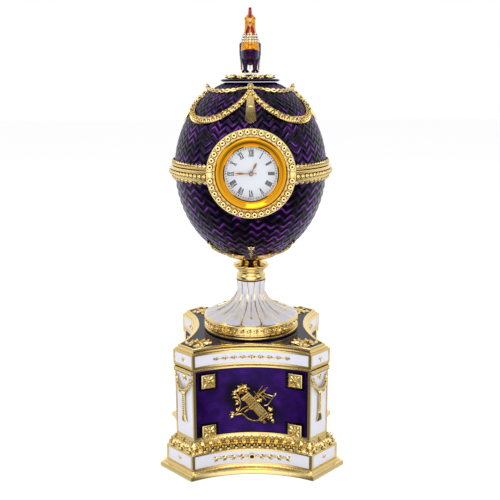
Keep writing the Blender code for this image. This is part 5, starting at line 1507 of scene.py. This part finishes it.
def glass():
    """The clear glass over the dial."""
    form = Form()
    radius, back = REBATE_RADIUS - GAP, HAND_LEVELS[3]
    form.lathe([(0, back), (radius - 0.0001, back), (radius, back + 0.0001), (radius, back + GLASS_THICK - 0.0001),
                (radius - 0.0001, back + GLASS_THICK), (0, back + GLASS_THICK)], 96, place=clock_place())
    return form.make("clear_glass", ["glass"], "clock_glass")


NUMERALS = ["XII", "I", "II", "III", "IIII", "V", "VI", "VII", "VIII", "IX", "X", "XI"]
STROKE_WIDTH = {"I": 0.00058, "V": 0.00150, "X": 0.00150}


def dial():
    """The white dial with its Roman numerals and minute marks."""
    form = Form()
    radius, back = REBATE_RADIUS - GAP, DIAL_BACK
    face = back + DIAL_THICK
    form.lathe([(ARBOR_HOLE, back), (radius, back), (radius, face), (ARBOR_HOLE, face)], 96, closed=True,
               place=clock_place())
    low, high, thick, thin = 0.0086, 0.0117, 0.00046, 0.00024
    ink = 0.00003

    def stroke(place, x0, y0, x1, y1, wide):
        points = [(x0 - wide / 2, y0), (x0 + wide / 2, y0), (x1 + wide / 2, y1), (x1 - wide / 2, y1)]
        points = [(x, y, z) for z in (face, face + ink) for x, y in points]
        form.add(points, [(0, 3, 2, 1), (4, 5, 6, 7), (0, 1, 5, 4), (1, 2, 6, 5), (2, 3, 7, 6), (3, 0, 4, 7)], 1, place)

    for hour, text in enumerate(NUMERALS):
        place = clock_place() @ Matrix.Rotation(-TAU * hour / 12, 4, "Z")
        total = sum(STROKE_WIDTH[letter] for letter in text)
        squeeze = min(1.0, 0.0031 / total)
        x = -total * squeeze / 2
        for letter in text:
            wide = STROKE_WIDTH[letter] * squeeze
            middle, arm = x + wide / 2, wide / 2 - thick / 2
            if letter == "I":
                stroke(place, middle, low, middle, high, thick)
            elif letter == "V":
                stroke(place, middle, low, middle - arm, high, thick)
                stroke(place, middle, low, middle + arm, high, thin * 1.3)
            else:
                stroke(place, middle + arm, low, middle - arm, high, thick)
                stroke(place, middle - arm, low, middle + arm, high, thin * 1.3)
            for level in (low, high):
                foot = wide * (0.3 if letter == "V" and level == low else 0.92)
                form.block((middle - foot / 2, level - thin / 2, face), (middle + foot / 2, level + thin / 2, face + ink),
                           1, place)
            x += wide
    for minute in range(60):
        place = clock_place() @ Matrix.Rotation(TAU * minute / 60, 4, "Z")
        size = 0.00026 if minute % 5 == 0 else 0.00019
        form.block((-size, 0.0123, face), (size, 0.0123 + size * 2.6, face + ink), 1, place)
    return form.make("printed_dial", ["dial", "ink"], "clock_dial", smooth=20)


def hand(name, order, degrees, reach, width, tail):
    """A lance-shaped hand round the arbor."""
    form = Form()
    place = clock_place() @ Matrix.Rotation(-math.radians(degrees), 4, "Z")
    low = HAND_LEVELS[order]
    high = low + HAND_THICK
    form.lathe([(ARBOR_HOLE, low), (HUB_RADIUS, low), (HUB_RADIUS, high - 0.00005), (HUB_RADIUS - 0.00008, high),
                (ARBOR_HOLE, high)], 32, closed=True, place=place)
    shape = [(0.22, 0.12), (0.16, 0.25), (0.20, 0.40), (0.42, 0.58), (0.50, 0.68), (0.36, 0.80), (0.16, 0.92), (0.02, 1.0)]
    rows = [[(-w * width, s * reach, low), (w * width, s * reach, low), (w * width * 0.7, s * reach, high),
             (0, s * reach, high + 0.00003), (-w * width * 0.7, s * reach, high)] for w, s in shape]
    form.grid(rows, around=True, caps=True, place=place)
    if tail:
        form.block((-width / 2, -tail, low), (width / 2, -ARBOR_HOLE - 0.0001, high), place=place)
        form.lathe([(0, low), (width * 1.1, low), (width * 1.1, high), (0, high)], 20,
                   place=place @ Matrix.Translation((0, -tail, 0)))
    return form.make(name + "_lance", ["hands"], name, body=name)


def studio():
    """Pale floor, soft lights, white surroundings with a dark front, and the camera."""
    scene = bpy.context.scene
    floor = bpy.data.meshes.new("floor")
    floor.from_pydata([(-4, -4, 0), (4, -4, 0), (4, 4, 0), (-4, 4, 0)], [], [(0, 1, 2, 3)])
    material, tree, shader, place = new_finish("backlit_white_paper", linear("#ffffff"), 0.9)
    shader.inputs["Specular IOR Level"].default_value = 0.1
    shader.inputs["Emission Color"].default_value = (1, 1, 1, 1)
    shader.inputs["Emission Strength"].default_value = 0.55
    fine_bump(tree, shader, place, 0.002, 0.00001)
    floor.materials.append(material)
    ground = bpy.data.objects.new("studio_floor", floor)
    scene.collection.objects.link(ground)
    ground.location.z = -0.0002
    ground.visible_glossy = False
    for name, spot, size, energy in (
            ("left_softbox", (-0.75, -0.35, 0.55), 0.50, 1.5), ("right_softbox", (0.75, -0.35, 0.50), 0.50, 1.3),
            ("top_softbox", (0.0, -0.25, 1.0), 0.50, 1.5), ("front_softbox", (-0.10, -1.1, 0.75), 0.45, 1.3)):
        lamp = bpy.data.lights.new(name, "AREA")
        lamp.size = size
        lamp.energy = energy
        item = bpy.data.objects.new(name, lamp)
        item.location = spot
        item.rotation_euler = (Vector((0, 0, 0.13)) - Vector(spot)).to_track_quat("-Z", "Y").to_euler()
        item.visible_camera = False
        scene.collection.objects.link(item)
    world = bpy.data.worlds.new("white_studio")
    world.use_nodes = True
    tree = world.node_tree
    back = tree.nodes["Background"]
    ways = add_node(tree, "ShaderNodeLightPath")
    look = add_node(tree, "ShaderNodeTexCoord")
    parts = add_node(tree, "ShaderNodeSeparateXYZ", {0: look.outputs["Generated"]})
    behind = add_node(tree, "ShaderNodeMapRange", {"Value": parts.outputs["Y"], "From Min": -1.0, "From Max": 1.0})
    dim = add_node(
        tree, "ShaderNodeValToRGB", {"Fac": behind.outputs[0]},
        [(0.0, (1.3, 1.3, 1.3, 1)), (0.08, (1.1, 1.1, 1.1, 1)), (0.16, (0.14, 0.14, 0.14, 1)),
         (0.36, (0.10, 0.10, 0.10, 1)), (0.52, (0.62, 0.62, 0.64, 1)), (1.0, (0.95, 0.95, 0.98, 1))])
    fill = add_node(
        tree, "ShaderNodeMix",
        {0: ways.outputs["Is Camera Ray"], 6: (0.42, 0.42, 0.43, 1), 7: (1, 1, 1, 1)}, data_type="RGBA")
    tone = add_node(
        tree, "ShaderNodeMix",
        {0: ways.outputs["Is Glossy Ray"], 6: fill.outputs[2], 7: dim.outputs["Color"]}, data_type="RGBA")
    tree.links.new(tone.outputs[2], back.inputs["Color"])
    back.inputs["Strength"].default_value = 1.0
    scene.world = world
    scene.view_settings.view_transform = "Standard"
    lens = bpy.data.cameras.new("photo_view")
    lens.lens, lens.sensor_width = 53.815, 36.0
    camera = bpy.data.objects.new("photo_view", lens)
    camera.matrix_world = (
        Matrix.Translation((-0.00215, -0.41274, 0.20728)) @ Matrix.Rotation(-0.004, 4, "Z")
        @ Matrix.Rotation(math.radians(77.45), 4, "X") @ Matrix.Rotation(-0.004, 4, "Z"))
    scene.collection.objects.link(camera)
    scene.camera = camera


class EGGCLOCK_OT_pedestal(bpy.types.Operator):
    """Make the pedestal's casting with its white cells and dark deck"""

    bl_idname = "eggclock.pedestal"
    bl_label = "Pedestal"

    def execute(self, context):
        pedestal_casting()
        return {"FINISHED"}


class EGGCLOCK_OT_panels(bpy.types.Operator):
    """Make the four engine-turned violet panels"""

    bl_idname = "eggclock.panels"
    bl_label = "Pedestal panels"

    def execute(self, context):
        for side in range(4):
            panel_surface(side, context.scene.egg_clock_sizes)
        return {"FINISHED"}


class EGGCLOCK_OT_ornament(bpy.types.Operator):
    """Make the gilt ornament of the pedestal: leaves, plates, trophy, chains, garlands and sprays"""

    bl_idname = "eggclock.ornament"
    bl_label = "Pedestal ornament"

    def execute(self, context):
        for build in (leaf_moulding, rosettes, trophy, chains, garlands, deck_sprays):
            build()
        return {"FINISHED"}


class EGGCLOCK_OT_foot(bpy.types.Operator):
    """Make the fluted foot and the turned collar"""

    bl_idname = "eggclock.foot"
    bl_label = "Foot and collar"

    def execute(self, context):
        fluted_foot()
        turned_collar()
        return {"FINISHED"}


class EGGCLOCK_OT_egg(bpy.types.Operator):
    """Make both halves of the egg with their gilt mounts"""

    bl_idname = "eggclock.egg"
    bl_label = "Egg"

    def execute(self, context):
        egg_lower()
        egg_upper()
        return {"FINISHED"}


class EGGCLOCK_OT_crown(bpy.types.Operator):
    """Make the wreath on the lid and the painted cockerel"""

    bl_idname = "eggclock.crown"
    bl_label = "Wreath and cockerel"

    def execute(self, context):
        crown_wreath()
        cockerel()
        return {"FINISHED"}


class EGGCLOCK_OT_clock(bpy.types.Operator):
    """Make the bezel, glass and dial, and finish the steel can behind them"""

    bl_idname = "eggclock.clock"
    bl_label = "Clock"

    def execute(self, context):
        bezel()
        glass()
        dial()
        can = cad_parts["clock_case"]
        can.data.materials.clear()
        can.data.materials.append(finish("steel"))
        return {"FINISHED"}


class EGGCLOCK_OT_hands(bpy.types.Operator):
    """Make the three hands, each on its own body"""

    bl_idname = "eggclock.hands"
    bl_label = "Hands"

    def execute(self, context):
        hand("hour_hand", 0, 28.0, 0.0063, 0.00125, 0)
        hand("minute_hand", 1, 271.5, 0.0083, 0.00095, 0)
        hand("second_hand", 2, 266.0, 0.0089, 0.00030, 0.0024)
        return {"FINISHED"}


class EGGCLOCK_OT_stage(bpy.types.Operator):
    """Make the floor, the lights, the surroundings and the camera"""

    bl_idname = "eggclock.stage"
    bl_label = "Studio"

    def execute(self, context):
        studio()
        return {"FINISHED"}


OPERATORS = (EGGCLOCK_OT_pedestal, EGGCLOCK_OT_panels, EGGCLOCK_OT_ornament, EGGCLOCK_OT_foot, EGGCLOCK_OT_egg,
             EGGCLOCK_OT_crown, EGGCLOCK_OT_clock, EGGCLOCK_OT_hands, EGGCLOCK_OT_stage)


class EGGCLOCK_PT_panel(bpy.types.Panel):
    """Lists what the add-on makes, and its sizes and colours"""

    bl_idname = "EGGCLOCK_PT_panel"
    bl_label = "Enamelled egg clock"
    bl_space_type = "VIEW_3D"
    bl_region_type = "UI"
    bl_category = "Egg clock"

    def draw(self, context):
        for kind in OPERATORS:
            self.layout.operator(kind.bl_idname)
        for group in (context.scene.egg_clock_sizes, context.scene.egg_clock_colours):
            for name in group.__annotations__:
                self.layout.prop(group, name)


CLASSES = (EggClockSizes, EggClockColours, *OPERATORS, EGGCLOCK_PT_panel)


def register():
    for kind in CLASSES:
        bpy.utils.register_class(kind)
    bpy.types.Scene.egg_clock_sizes = bpy.props.PointerProperty(type=EggClockSizes)
    bpy.types.Scene.egg_clock_colours = bpy.props.PointerProperty(type=EggClockColours)


def unregister():
    del bpy.types.Scene.egg_clock_colours
    del bpy.types.Scene.egg_clock_sizes
    for kind in reversed(CLASSES):
        bpy.utils.unregister_class(kind)


def main():
    register()
    for kind in OPERATORS:
        group, name = kind.bl_idname.split(".")
        getattr(getattr(bpy.ops, group), name)()


if __name__ == "__main__":
    main()
